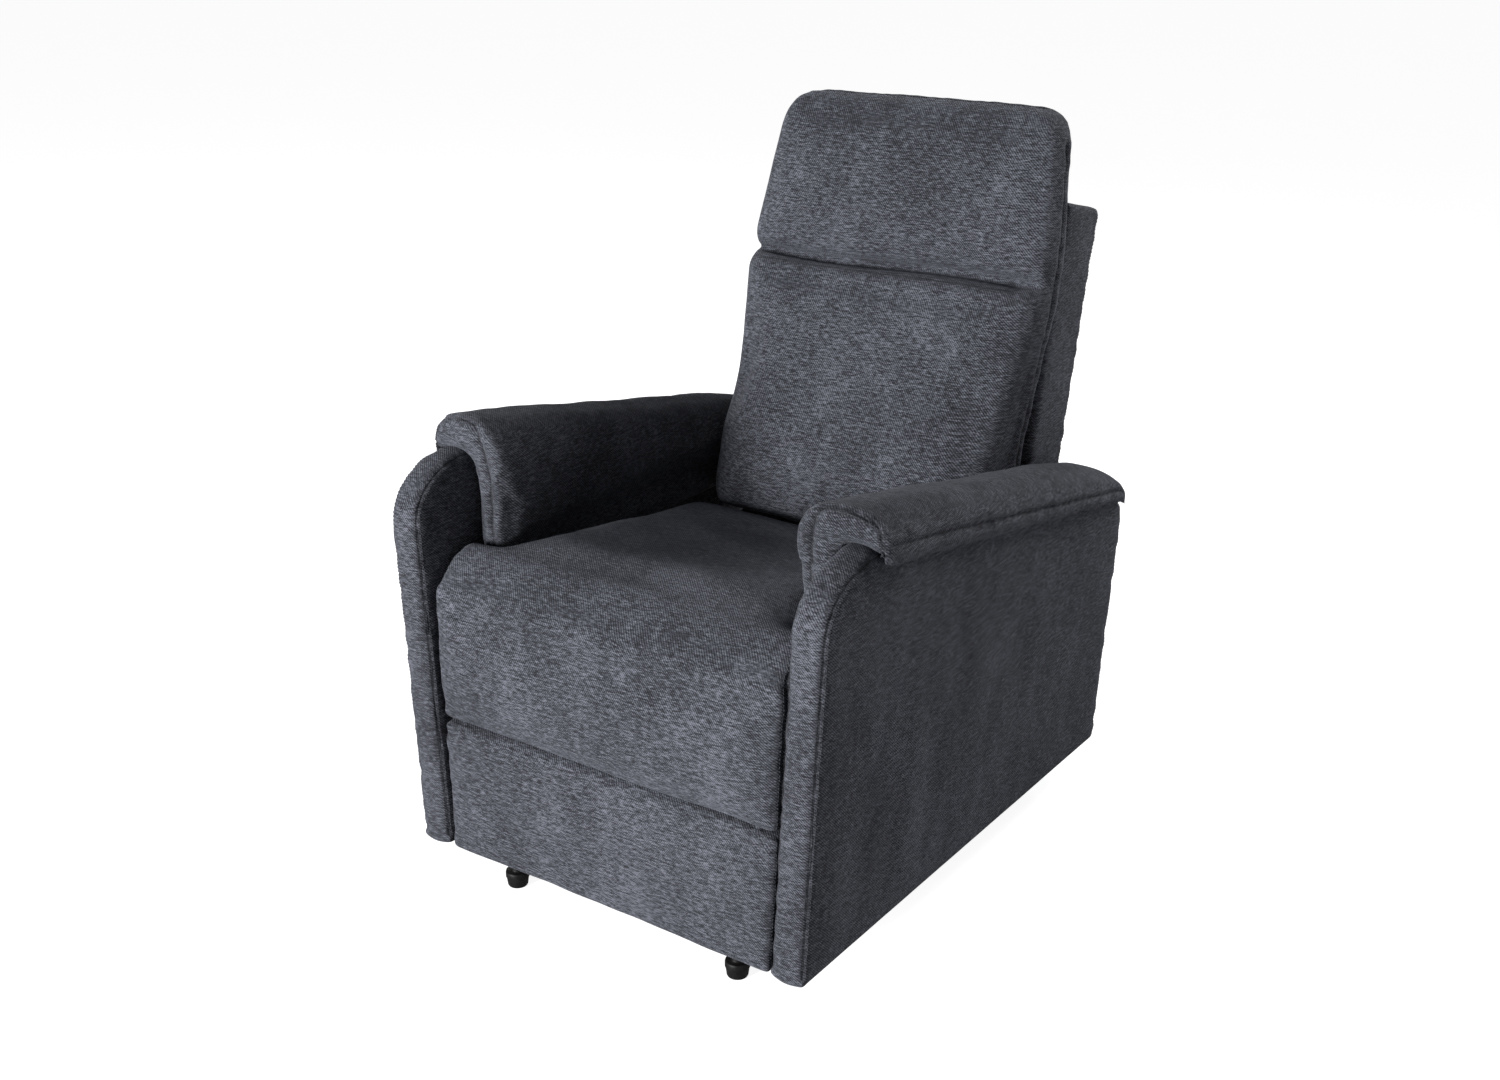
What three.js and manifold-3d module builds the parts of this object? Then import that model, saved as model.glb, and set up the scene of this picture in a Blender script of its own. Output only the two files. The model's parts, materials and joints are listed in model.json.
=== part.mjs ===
// A push-back recliner armchair, upholstered, on a steel folding mechanism.
// Millimetres, +Z up, the sitter faces -Y. Inside the chair group, y = 0 is the front plane of the arms
// and z = 0 is LIFT above the floor; the exported group moves that so that the origin is on the floor
// under the middle of the chair.
import * as THREE from "three";
import { mergeVertices } from "three/addons/utils/BufferGeometryUtils.js";
import Module from "manifold-3d";

const wasm = await Module();
wasm.setup();

// ---------------------------------------------------------------- driving dimensions
const DEPTH_CENTRE = 491; // from the arms' front plane to the middle of the chair's depth
const GAP = 0.5; // between pieces that touch
const SIDES = [
  ["left", 1],
  ["right", -1],
]; // the sitter's left is +X

// arms: slabs that lean outwards
const LIFT = 26; // the level that every other height is measured from, above the floor
const ARM_HALF_WIDTH = 345; // outer face, at that level
const ARM_BOTTOM = 34;
const ARM_FLARE = THREE.MathUtils.degToRad(2.96);
const ARM_THICKNESS = 55;
const ARM_LENGTH = 900;
const ARM_WALL = 12;
const ARM_SHOULDER = { y: 118, z: 543, rise: 82 }; // centre of the front curve, and its height
const ARM_HEEL = { y: 840, z: 432, radius: 60 }; // centre of the rear corner
const PAD_FRONT = 112;
const PAD_REAR = 893;
const PAD_BOTTOM = 415; // lower edge of the part that hangs beside the seat
const PAD_THICKNESS = 46;
const PAD_LOFT = 62; // height of the pad above the arm

// seat, in side view
const SEAT = {
  front: -6,
  rear: 585,
  topFront: 515,
  topRear: 442,
  depth: 110,
  half: 257,
  earHalf: 305,
  earRear: 96,
};
const SEAT_LIP = 452; // the front edge of the cushion ends here, above the leg rest
const RAIL = { half: 257.5, thickness: 21, height: 54, front: 75, rear: 622 };

// leg rest, hanging from its fabric hinge at the cushion's lip
const HINGE = { y: -6, z: 450 };
const LEG_REST = { bottom: 42, crease: 248, top: 448, thickness: 55, halfAtFloor: 285 };
const LEG_BOARD = { bottom: 50, top: 400, thickness: 10, half: 268 };

// backrest, in a frame that leans back about its pivot: v runs rearwards through it, w runs up it
const BACK_PIVOT = { y: 690, z: 350 };
const BACK_LEAN = THREE.MathUtils.degToRad(12.8);
const BACK = { half: 257, front: 42, rear: 166, bottom: -205, top: 617, wall: 12, sideWall: 21, notch: 11 };
const POST = { outer: 235, width: 23, front: 46, rear: 96 };

// folding mechanism: pivots in side view
const SWING_PIVOTS = [
  { y: 150, z: 150 },
  { y: 560, z: 150 },
]; // on the base plates
const SWING = { y: 34, z: 94 }; // from a base pivot to a seat pivot
const CARRY_PIVOT = { y: 100, z: 320 }; // the leg rest's carrying arm on the seat plate
const CARRY = { y: 84, z: -210 }; // the carrying arm, parallel to hinge-to-bracket on the leg rest
const DRIVE_PIVOT = { y: 330, z: 285 };
const DRIVE_SHARE = 0.4; // where the drive rod meets the carrying arm, as a share of its length
const PLATE = 4;
const LAYERS = { base: 268, swing: 263, seat: 258, carry: 253, strut: 248, bracket: 243 }; // inner faces
const PIN_RADIUS = 5;
const HOLE_RADIUS = 5.7;
const LINK_RADIUS = 12;
const PIN_SIDES = 14;

// base frame
const FOOT = { x: 205, radius: 18, height: 29.5, frontY: 52, rearY: 782 };
const CROSS = {
  half: 291.2,
  z: 30,
  flange: 3,
  frontY: 35,
  frontUpright: 72,
  rearUpright: 760,
  rearY: 800,
  height: 28,
};

// ---------------------------------------------------------------- materials
const fabric = new THREE.MeshStandardMaterial({ color: 0x3a3d46, roughness: 0.95, metalness: 0 });
const foam = new THREE.MeshStandardMaterial({ color: 0x34373f, roughness: 0.95, metalness: 0 });
const wood = new THREE.MeshStandardMaterial({ color: 0xb08a5a, roughness: 0.7, metalness: 0 });
const steel = new THREE.MeshStandardMaterial({ color: 0x1c1c1e, roughness: 0.45, metalness: 0.6 });
const plastic = new THREE.MeshStandardMaterial({ color: 0x0c0c0d, roughness: 0.4, metalness: 0 });
const wire = new THREE.MeshStandardMaterial({ color: 0x6f7276, roughness: 0.35, metalness: 0.9 });
const webbing = new THREE.MeshStandardMaterial({ color: 0x6a6258, roughness: 0.9, metalness: 0 });

// ---------------------------------------------------------------- geometry helpers
const SIDE_VIEW = new THREE.Matrix4().makeBasis(
  new THREE.Vector3(0, 1, 0),
  new THREE.Vector3(0, 0, 1),
  new THREE.Vector3(1, 0, 0),
); // a shape's (x, y) becomes (y, z), and its depth runs along x

function solidOf(geometry) {
  const bare = geometry.clone();
  bare.deleteAttribute("normal");
  bare.deleteAttribute("uv");
  const merged = mergeVertices(bare, 1e-4);
  return new wasm.Manifold(
    new wasm.Mesh({
      numProp: 3,
      vertProperties: merged.attributes.position.array,
      triVerts: new Uint32Array(merged.index.array),
    }),
  );
}

function geometryOf(solid) {
  const mesh = solid.getMesh();
  return new THREE.BufferGeometry()
    .setAttribute("position", new THREE.BufferAttribute(mesh.vertProperties, 3))
    .setIndex(new THREE.BufferAttribute(mesh.triVerts, 1));
}

function join(...geometries) {
  return geometryOf(geometries.map(solidOf).reduce((a, b) => a.add(b)));
}

function cut(geometry, ...tools) {
  return geometryOf(tools.map(solidOf).reduce((a, b) => a.subtract(b), solidOf(geometry)));
}

// A box from its two corners.
function block(low, high) {
  const size = high.map((v, i) => v - low[i]);
  const middle = high.map((v, i) => (v + low[i]) / 2);
  return new THREE.BoxGeometry(...size).translate(...middle);
}

// An outline of [y, z] points extruded from x = from to x = to.
function slab(outline, from, to) {
  const shape = new THREE.Shape(outline.map(([y, z]) => new THREE.Vector2(y, z)));
  const low = Math.min(from, to);
  return new THREE.ExtrudeGeometry(shape, { depth: Math.abs(to - from), bevelEnabled: false })
    .applyMatrix4(SIDE_VIEW)
    .translate(low, 0, 0);
}

// A round bar along x.
function bar(radius, from, to, { y, z }, sides = PIN_SIDES) {
  return new THREE.CylinderGeometry(radius, radius, Math.abs(to - from), sides)
    .rotateZ(Math.PI / 2)
    .translate((from + to) / 2, y, z);
}

// Points of an elliptical arc, from one angle to another, in degrees.
function arc(centreY, centreZ, radiusY, radiusZ, from, to, steps) {
  return Array.from({ length: steps + 1 }, (_, i) => {
    const angle = THREE.MathUtils.degToRad(from + ((to - from) * i) / steps);
    return [centreY + radiusY * Math.cos(angle), centreZ + radiusZ * Math.sin(angle)];
  });
}

// A closed body through rings of points, all with the same number of points, capped flat at both ends.
function loft(rings) {
  const count = rings[0].length;
  const position = rings.flat(2);
  const index = [];
  const quad = (a, b, c, d) => index.push(a, b, c, a, c, d);
  for (let r = 0; r + 1 < rings.length; r += 1) {
    for (let i = 0; i < count; i += 1) {
      const next = (i + 1) % count;
      quad(r * count + i, r * count + next, (r + 1) * count + next, (r + 1) * count + i);
    }
  }
  const flat = (ring) => {
    const spread = [0, 1, 2].map((k) => {
      const values = ring.map((p) => p[k]);
      return Math.max(...values) - Math.min(...values);
    });
    const drop = spread.indexOf(Math.min(...spread));
    return ring.map((p) => new THREE.Vector2(...p.filter((_, k) => k !== drop)));
  };
  const outline = flat(rings[0]);
  const caps = THREE.ShapeUtils.triangulateShape(outline, []);
  const last = (rings.length - 1) * count;
  for (const [a, b, c] of caps) {
    const turn = THREE.ShapeUtils.area([a, b, c].map((i) => outline[i]));
    const follows = turn * THREE.ShapeUtils.area(outline) > 0;
    const [p, q] = follows ? [a, c] : [c, a];
    index.push(q, b, p);
    index.push(last + p, last + b, last + q);
  }
  const geometry = new THREE.BufferGeometry()
    .setAttribute("position", new THREE.BufferAttribute(new Float32Array(position), 3))
    .setIndex(index);
  return facingOut(geometry);
}

// Turns a closed body's faces outwards, by the sign of its volume.
function facingOut(geometry) {
  const p = geometry.attributes.position;
  const index = geometry.index.array;
  let volume = 0;
  const corner = (i) => new THREE.Vector3().fromBufferAttribute(p, index[i]);
  for (let i = 0; i < index.length; i += 3) volume += corner(i).dot(corner(i + 1).cross(corner(i + 2)));
  if (volume > 0) return geometry;
  for (let i = 0; i < index.length; i += 3) [index[i], index[i + 1]] = [index[i + 1], index[i]];
  return geometry;
}

const chair = new THREE.Group();

function add(parent, name, geometry, material) {
  const mesh = new THREE.Mesh(geometry, material);
  mesh.name = name;
  parent.add(mesh);
  return mesh;
}

// ---------------------------------------------------------------- pins, links and plates
const plus = (a, b) => ({ y: a.y + b.y, z: a.z + b.z });

// A flat link with round ends between two pivots, with a hole at the first and, if asked, at the second.
function link(a, b, inner, side, holes) {
  const angle = THREE.MathUtils.radToDeg(Math.atan2(b.z - a.z, b.y - a.y));
  const outline = [
    ...arc(a.y, a.z, LINK_RADIUS, LINK_RADIUS, angle + 90, angle + 270, 7),
    ...arc(b.y, b.z, LINK_RADIUS, LINK_RADIUS, angle - 90, angle + 90, 7),
  ];
  const flat = slab(outline, side * inner, side * (inner + PLATE));
  return cut(flat, ...holes.map((at) => hole(at, inner, side)));
}

function hole(at, inner, side) {
  return bar(HOLE_RADIUS, side * (inner - 1), side * (inner + PLATE + 1), at);
}

// A pin that stands out of a plate, through the layer beside it.
function pin(at, from, to, side) {
  return bar(PIN_RADIUS, side * from, side * to, at);
}

// ---------------------------------------------------------------- base frame
function addBase(parent) {
  const { half, z, flange, frontY, frontUpright, rearUpright, rearY, height } = CROSS;
  const front = join(
    block([-half, frontY, z], [half, frontUpright + flange, z + flange]),
    block([-half, frontUpright, z], [half, frontUpright + flange, z + height]),
  );
  const rear = join(
    block([-half, rearUpright, z], [half, rearY, z + flange]),
    block([-half, rearUpright, z], [half, rearUpright + flange, z + height]),
  );
  add(parent, "base_cross_rail_front", front, steel);
  add(parent, "base_cross_rail_rear", rear, steel);
  for (const [name, side] of SIDES) {
    for (const [end, y] of [
      ["front", FOOT.frontY],
      ["rear", FOOT.rearY],
    ]) {
      const foot = new THREE.LatheGeometry(
        [
          [0, 0],
          [0.72, 0],
          [0.94, 0.16],
          [1, 0.42],
          [0.9, 0.66],
          [0.6, 0.8],
          [0.6, 1],
          [0, 1],
        ].map(([r, h]) => new THREE.Vector2(r * FOOT.radius, h * (FOOT.height + LIFT))),
        16,
      ).rotateX(Math.PI / 2);
      add(parent, `foot_${end}_${name}`, foot, plastic).position.set(side * FOOT.x, y, -LIFT);
    }
    addBasePlate(parent, name, side);
  }
}

function addBasePlate(parent, name, side) {
  const low = CROSS.z + CROSS.flange + GAP;
  const ear = ({ y, z }) => [
    [y - 58, 104],
    [y - 18, z + 10],
    [y - 8, z + 18],
    [y + 8, z + 18],
    [y + 18, z + 10],
    [y + 58, 104],
  ];
  const outline = [[78, low], [78, 92], ...SWING_PIVOTS.flatMap(ear), [757, 92], [757, low]];
  const flat = slab(outline, side * LAYERS.base, side * (LAYERS.base + PLATE));
  const inner = LAYERS.base;
  const foot = block(
    [Math.min(side * inner, side * CROSS.half), 78, low],
    [Math.max(side * inner, side * CROSS.half), 757, low + PLATE],
  );
  const pins = SWING_PIVOTS.map((at) => pin(at, LAYERS.swing - 0.5, inner + 1, side));
  add(parent, `base_plate_${name}`, join(flat, foot, ...pins), steel);
}

// ---------------------------------------------------------------- arms
// The arm's outline in side view, drawn in by inset, from a given lower edge.
function armOutline(inset, bottom) {
  const { y, z, rise } = ARM_SHOULDER;
  const radius = Math.max(ARM_HEEL.radius - inset, 5);
  const top = ARM_HEEL.z + ARM_HEEL.radius - inset;
  return [
    [ARM_LENGTH - inset, bottom],
    ...arc(ARM_LENGTH - inset - radius, top - radius, radius, radius, 0, 90, 6),
    ...arc(y, z, y - inset, rise - inset, 90, 180, 9),
    [inset, bottom],
  ];
}

// Height of the arm's top edge at a place along it.
function armTop(y) {
  const { y: shoulder, z, rise } = ARM_SHOULDER;
  const heelTop = ARM_HEEL.z + ARM_HEEL.radius;
  if (y < shoulder) return z + rise * Math.sqrt(Math.max(0, 1 - ((shoulder - y) / shoulder) ** 2));
  const past = y - ARM_HEEL.y;
  if (past > 0) return ARM_HEEL.z + Math.sqrt(Math.max(0, ARM_HEEL.radius ** 2 - past ** 2));
  return z + rise + ((heelTop - z - rise) * (y - shoulder)) / (ARM_HEEL.y - shoulder);
}

function addArm(parent, name, side) {
  const arm = new THREE.Group(); // its z axis runs up the leaning outer face, from the bottom edge
  arm.position.set(side * ARM_HALF_WIDTH, 0, 0);
  arm.rotation.y = side * ARM_FLARE;
  parent.add(arm);
  const inner = -side * ARM_THICKNESS;
  const shell = cut(
    slab(armOutline(0, ARM_BOTTOM), 0, inner),
    slab(armOutline(ARM_WALL, ARM_BOTTOM - 5), -side * ARM_WALL, inner + side * ARM_WALL),
  );
  add(arm, `arm_cover_${name}`, shell, fabric);
  const inset = ARM_WALL + GAP;
  const rail = 55;
  const frame = cut(
    slab(armOutline(inset, ARM_BOTTOM + 6), -side * inset, inner + side * inset),
    slab(armOutline(inset + rail, ARM_BOTTOM + rail), side, inner - side),
  );
  add(arm, `arm_frame_${name}`, frame, wood);
  add(arm, `arm_pad_${name}`, armPad(side), fabric);
}

// The pad: over the top of the arm, and hanging down its inner face.
function armPad(side) {
  const inner = ARM_THICKNESS + 2 * GAP;
  const face = inner + PAD_THICKNESS;
  // distance inwards from the arm's outer face, share of the loft, how far the front end runs forward
  const section = [
    [-8, 0, 40],
    [-9, 0.5, 42],
    [0, 0.86, 40],
    [28, 1, 38],
    [64, 0.94, 30],
    [face - 10, 0.6, 22],
    [face, 0.12, 10],
  ];
  const stations = [PAD_FRONT, 160, 260, 400, 560, 700, 800, 860, PAD_REAR];
  const rings = stations.map((y) => {
    const ahead = Math.max(0, 1 - (y - PAD_FRONT) / 110);
    const end = Math.min(1, 0.62 + (y - PAD_FRONT) / 150) * Math.min(1, 0.28 + (PAD_REAR - y) / 110);
    const ring = section.map(([across, share, forward], i) => {
      const along = y - forward * ahead;
      const above = i === 0 ? -12 : share * PAD_LOFT * end;
      return [-side * across, along, armTop(along) + above];
    });
    ring.push([-side * face, y, PAD_BOTTOM], [-side * inner, y, PAD_BOTTOM]);
    const corner = y - 20 * ahead;
    ring.push([-side * inner, corner, armTop(corner) - 12]);
    return ring;
  });
  return cut(loft(rings), slab(armOutline(-2 * GAP, ARM_BOTTOM), side * 20, -side * (ARM_THICKNESS + GAP)));
}

// ---------------------------------------------------------------- seat
const seatSlope = (SEAT.topFront - SEAT.topRear) / (SEAT.rear - SEAT.earRear);
const railTop = (y) => SEAT.topFront - SEAT.depth - GAP - 1 - seatSlope * (y - SEAT.earRear);

function addSeat(parent) {
  const { front, rear, topFront, topRear, depth, half, earHalf, earRear } = SEAT;
  const back = front + 68; // rear of the lip over the leg rest
  const nose = arc(front + 56, SEAT_LIP + 8, 56, topFront - SEAT_LIP - 7, 180, 90, 7);
  const long = [
    [front, SEAT_LIP],
    ...nose,
    [earRear, topFront],
    [rear, topRear],
    [rear, topRear - depth],
    [earRear, topFront - depth],
    [back, topFront - depth],
    [back, SEAT_LIP],
  ];
  const ear = [
    [front, SEAT_LIP],
    ...nose,
    [earRear, topFront],
    [earRear, topFront - depth],
    [back, topFront - depth],
    [back, SEAT_LIP],
  ];
  add(parent, "seat_cushion", join(slab(long, -half, half), slab(ear, -earHalf, earHalf)), foam);
  const { half: railHalf, thickness, height, front: railFront, rear: railRear } = RAIL;
  const endY = railRear - thickness;
  const startY = railFront + thickness;
  for (const [name, side] of SIDES) {
    const outline = [
      [startY + GAP, railTop(startY)],
      [endY - GAP, railTop(endY)],
      [endY - GAP, railTop(endY) - height],
      [startY + GAP, railTop(startY) - height],
    ];
    const from = side * (railHalf - thickness);
    add(parent, `seat_side_rail_${name}`, slab(outline, from, side * railHalf), wood);
    addSeatPlate(parent, name, side);
  }
  for (const [name, y] of [
    ["front", railFront],
    ["rear", endY],
  ]) {
    const top = railTop(y + thickness) - (name === "front" ? 2 : 0);
    const rail = block([-railHalf, y, top - height], [railHalf, y + thickness, top]);
    add(parent, `seat_${name}_rail`, rail, wood);
  }
  [-165, -55, 55, 165].forEach((x, i) => {
    add(parent, `seat_spring_${i + 1}`, zigzagSpring(x, startY + 2, endY - 2), wire);
  });
}

// A flat zigzag spring from the front rail to the rear rail, bowed up a little.
function zigzagSpring(x, from, to) {
  const bends = 10;
  const swing = 22;
  const radius = 2;
  const points = Array.from({ length: bends + 1 }, (_, i) => {
    const y = from + ((to - from) * i) / bends;
    const offset = i === 0 || i === bends ? 0 : swing * (i % 2 ? 1 : -1);
    return new THREE.Vector3(x + offset, y, railTop(y) - 12);
  });
  const path = new THREE.CatmullRomCurve3(points, false, "centripetal");
  const section = new THREE.Shape(
    arc(0, 0, radius, radius, 0, 288, 4).map(([a, b]) => new THREE.Vector2(a, b)),
  );
  return new THREE.ExtrudeGeometry(section, { steps: bends * 4, extrudePath: path, bevelEnabled: false });
}

function addSeatPlate(parent, name, side) {
  const seatPivots = SWING_PIVOTS.map((at) => plus(at, SWING));
  const [frontPivot, rearPivot] = seatPivots;
  const lug = ({ y, z }) => [
    [y - 44, z + 22],
    [y - 18, z - 16],
    [y + 18, z - 16],
    [y + 44, z + 22],
  ];
  const outline = [
    [70, CARRY_PIVOT.z - 22],
    ...lug(frontPivot),
    ...lug(rearPivot).slice(0, 3),
    [BACK_PIVOT.y + 16, BACK_PIVOT.z - 26],
    ...arc(BACK_PIVOT.y, BACK_PIVOT.z, 22, 22, -30, 130, 6),
    [RAIL.rear - 25, railTop(RAIL.rear) - 12],
    [70, railTop(70) - 12],
  ];
  const inner = LAYERS.seat;
  const flat = slab(outline, side * inner, side * (inner + PLATE));
  const outward = seatPivots.map((at) => pin(at, inner + 1, LAYERS.swing + PLATE + 0.5, side));
  const inward = [
    pin(CARRY_PIVOT, LAYERS.carry - 0.5, inner + 1, side),
    pin(BACK_PIVOT, LAYERS.strut - 2, inner + 1, side),
  ];
  const plate = cut(join(flat, ...outward, ...inward), hole(DRIVE_PIVOT, inner, side));
  add(parent, `seat_plate_${name}`, plate, steel);
}

// ---------------------------------------------------------------- swing links between base and seat
function addSwingLinks(parent) {
  for (const [name, side] of SIDES) {
    [
      ["front", SWING_PIVOTS[0]],
      ["rear", SWING_PIVOTS[1]],
    ].forEach(([end, at]) => {
      const top = plus(at, SWING);
      add(parent, `${end}_swing_link_${name}`, link(at, top, LAYERS.swing, side, [at, top]), steel);
    });
  }
}

// ---------------------------------------------------------------- leg rest and what carries it
const innerFace = (z) => LEG_REST.halfAtFloor + Math.tan(ARM_FLARE) * (z - ARM_BOTTOM);

function legRestPad(low, high) {
  const { thickness } = LEG_REST;
  const front = HINGE.y;
  const rings = [
    [low, 10],
    [low + 12, 1],
    [high - 12, 0],
    [high, 8],
  ].map(([z, tuck]) => {
    const half = innerFace(z);
    return [
      [-half, front + tuck, z],
      [half, front + tuck, z],
      [half, front + thickness, z],
      [-half, front + thickness, z],
    ];
  });
  return loft(rings);
}

function addLegRest(parent) {
  const { bottom, crease, top, thickness } = LEG_REST;
  add(parent, "leg_rest_pad_upper", legRestPad(crease + 2.5, top), foam);
  add(parent, "leg_rest_pad_lower", legRestPad(bottom, crease - 2.5), foam);
  const boardY = HINGE.y + thickness + GAP;
  const board = block(
    [-LEG_BOARD.half, boardY, LEG_BOARD.bottom],
    [LEG_BOARD.half, boardY + LEG_BOARD.thickness, LEG_BOARD.top],
  );
  add(parent, "leg_rest_board", board, wood);
  const pivot = plus(HINGE, CARRY);
  const face = boardY + LEG_BOARD.thickness + GAP;
  for (const [name, side] of SIDES) {
    const inner = LAYERS.bracket;
    const outline = [
      [face, pivot.z + 90],
      [face, pivot.z - 90],
      [face + 8, pivot.z - 90],
      [pivot.y + 14, pivot.z - 14],
      [pivot.y + 14, pivot.z + 14],
      [face + 8, pivot.z + 90],
    ];
    const web = slab(outline, side * inner, side * (inner + PLATE));
    const tab = block(
      [Math.min(side * (inner - 26), side * inner), face, pivot.z - 90],
      [Math.max(side * (inner - 26), side * inner), face + 3, pivot.z + 90],
    );
    const bracket = cut(join(web, tab), hole(pivot, inner, side));
    add(parent, `leg_rest_bracket_${name}`, bracket, steel);
  }
}

function addLegRestLinks(parent) {
  const elbow = plus(CARRY_PIVOT, CARRY);
  const bracketPivot = plus(HINGE, CARRY);
  const share = { y: CARRY.y * DRIVE_SHARE, z: CARRY.z * DRIVE_SHARE };
  const rodFront = plus(CARRY_PIVOT, share);
  const rodRear = plus(DRIVE_PIVOT, share);
  const crankLayer = LAYERS.bracket;
  let tube = bar(9, -crankLayer, crankLayer, DRIVE_PIVOT, 16);
  for (const [name, side] of SIDES) {
    const carry = link(CARRY_PIVOT, elbow, LAYERS.carry, side, [CARRY_PIVOT]);
    const carryPins = [elbow, rodFront].map((at) => pin(at, LAYERS.strut - 0.5, LAYERS.carry + 1, side));
    add(parent, `carrying_arm_${name}`, join(carry, ...carryPins), steel);
    const strut = link(bracketPivot, elbow, LAYERS.strut, side, [elbow]);
    const strutPin = pin(bracketPivot, LAYERS.bracket - 0.5, LAYERS.strut + 1, side);
    add(parent, `carrying_strut_${name}`, join(strut, strutPin), steel);
    const rod = link(rodFront, rodRear, LAYERS.strut, side, [rodFront, rodRear]);
    add(parent, `drive_rod_${name}`, rod, steel);
    const crank = link(DRIVE_PIVOT, rodRear, crankLayer, side, []);
    const crankPin = pin(rodRear, crankLayer + 1, LAYERS.strut + PLATE + 0.5, side);
    const stub = pin(DRIVE_PIVOT, crankLayer - 1, LAYERS.seat + PLATE + 0.5, side);
    tube = join(tube, crank, crankPin, stub);
  }
  add(parent, "drive_tube", tube, steel);
}

// ---------------------------------------------------------------- backrest
function addBackrest(parent) {
  const back = new THREE.Group(); // y is v and z is w, from the pivot
  back.position.set(0, BACK_PIVOT.y, BACK_PIVOT.z);
  back.rotation.x = -BACK_LEAN;
  parent.add(back);
  const { half, front, rear, bottom, top, wall, sideWall, notch } = BACK;
  const cavity = half - sideWall;
  let shell = cut(
    block([-half, front, bottom], [half, rear, top]),
    block([-cavity, front - 5, bottom - 5], [cavity, rear - wall, top - wall]),
  );
  for (const side of [1, -1]) {
    const from = side * (half - notch);
    const to = side * (half + 5);
    shell = cut(shell, block([Math.min(from, to), front - 5, bottom - 5], [Math.max(from, to), 100, 195]));
  }
  add(back, "back_outer_cover", shell, fabric);

  const postTop = top - wall - 1;
  for (const [name, side] of SIDES) {
    const outer = side * POST.outer;
    const inner = side * (POST.outer - POST.width);
    const low = [Math.min(outer, inner), POST.front, bottom + 30];
    const high = [Math.max(outer, inner), POST.rear, postTop];
    add(back, `back_post_${name}`, block(low, high), wood);
    const bracket = slab(
      [
        [-16, -16],
        [16, -16],
        [96, 30],
        [96, 190],
        [44, 190],
        [44, 52],
        [-16, 16],
      ],
      side * (half - notch + GAP),
      side * (half - notch + GAP + PLATE),
    );
    const bore = bar(HOLE_RADIUS, side * (half - notch - 5), side * (half - notch + 9), { y: 0, z: 0 });
    add(back, `back_hinge_bracket_${name}`, cut(bracket, bore), steel);
  }
  const span = POST.outer - POST.width - GAP;
  [
    ["top", postTop - 60],
    ["middle", 210],
    ["bottom", bottom + 30],
  ].forEach(([name, w]) => {
    add(back, `back_${name}_rail`, block([-span, POST.front, w], [span, POST.front + 22, w + 60]), wood);
  });
  [110, 300, 420].forEach((w, i) => {
    const strap = block([-POST.outer, front + 1, w], [POST.outer, front + 3, w + 50]);
    add(back, `back_webbing_${i + 1}`, strap, webbing);
  });
  addBackCushions(back);
}

// The two parts of the back cushion, as rows of [w, front face's v, half width].
function addBackCushions(back) {
  const rear = BACK.front - GAP - 1.5;
  const lumbar = [
    [66, -90, 246],
    [82, -116, 252],
    [120, -126, 254],
    [190, -126, 256],
    [235, -112, 258],
    [290, -92, 260],
    [350, -82, 268],
    [430, -76, 276],
    [462, -70, 279],
    [480, -48, 279],
  ];
  const head = [
    [484, -44, 278],
    [500, -52, 278],
    [540, -50, 274],
    [640, -48, 266],
    [700, -44, 261],
    [735, -34, 256],
    [755, -18, 248],
    [763, 4, 238],
  ];
  for (const [name, rows] of [
    ["lumbar_cushion", lumbar],
    ["head_cushion", head],
  ]) {
    const rings = rows.map(([w, v, half]) => [
      [-half, v, w],
      [half, v, w],
      [half, rear, w],
      [-half, rear, w],
    ]);
    add(back, name, loft(rings), foam);
  }
}

addBase(chair);
for (const [name, side] of SIDES) addArm(chair, name, side);
addSeat(chair);
addSwingLinks(chair);
addLegRest(chair);
addLegRestLinks(chair);
addBackrest(chair);
chair.position.set(0, -DEPTH_CENTRE, LIFT);

const part = new THREE.Group();
part.add(chair);
export default part;
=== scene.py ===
"""Looks of a fabric recliner armchair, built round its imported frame. Metres, +Z up, the sitter faces -Y."""

import json
import math

import bmesh
import bpy
import numpy as np
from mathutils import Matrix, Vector, noise
from mathutils.bvhtree import BVHTree
from mathutils.kdtree import KDTree


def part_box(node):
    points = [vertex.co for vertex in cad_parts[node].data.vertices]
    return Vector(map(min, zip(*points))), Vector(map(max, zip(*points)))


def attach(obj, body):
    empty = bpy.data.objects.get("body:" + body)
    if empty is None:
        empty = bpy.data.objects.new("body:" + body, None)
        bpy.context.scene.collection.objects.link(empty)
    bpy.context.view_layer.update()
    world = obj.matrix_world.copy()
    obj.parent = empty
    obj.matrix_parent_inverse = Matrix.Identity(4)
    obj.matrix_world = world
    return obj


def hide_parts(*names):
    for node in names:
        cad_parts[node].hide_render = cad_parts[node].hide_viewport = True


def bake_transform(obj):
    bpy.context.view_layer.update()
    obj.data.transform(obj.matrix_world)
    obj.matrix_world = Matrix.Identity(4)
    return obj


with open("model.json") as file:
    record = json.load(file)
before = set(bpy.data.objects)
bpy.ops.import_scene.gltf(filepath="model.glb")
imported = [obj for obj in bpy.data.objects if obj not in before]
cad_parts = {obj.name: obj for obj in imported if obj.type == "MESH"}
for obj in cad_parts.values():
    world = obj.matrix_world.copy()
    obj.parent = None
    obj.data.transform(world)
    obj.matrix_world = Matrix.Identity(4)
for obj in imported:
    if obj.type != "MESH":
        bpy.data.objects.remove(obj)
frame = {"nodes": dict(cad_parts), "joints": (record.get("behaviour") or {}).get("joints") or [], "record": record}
scene = bpy.context.scene
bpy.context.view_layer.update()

# ------------------------------------------------------------------ sizes, from the frame
ARM_LOW, ARM_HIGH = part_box("arm_cover_left")
FRONT = ARM_LOW.y  # the arms' front plane; y below is measured back from it
SEAT_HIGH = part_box("seat_cushion")[1]
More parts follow.
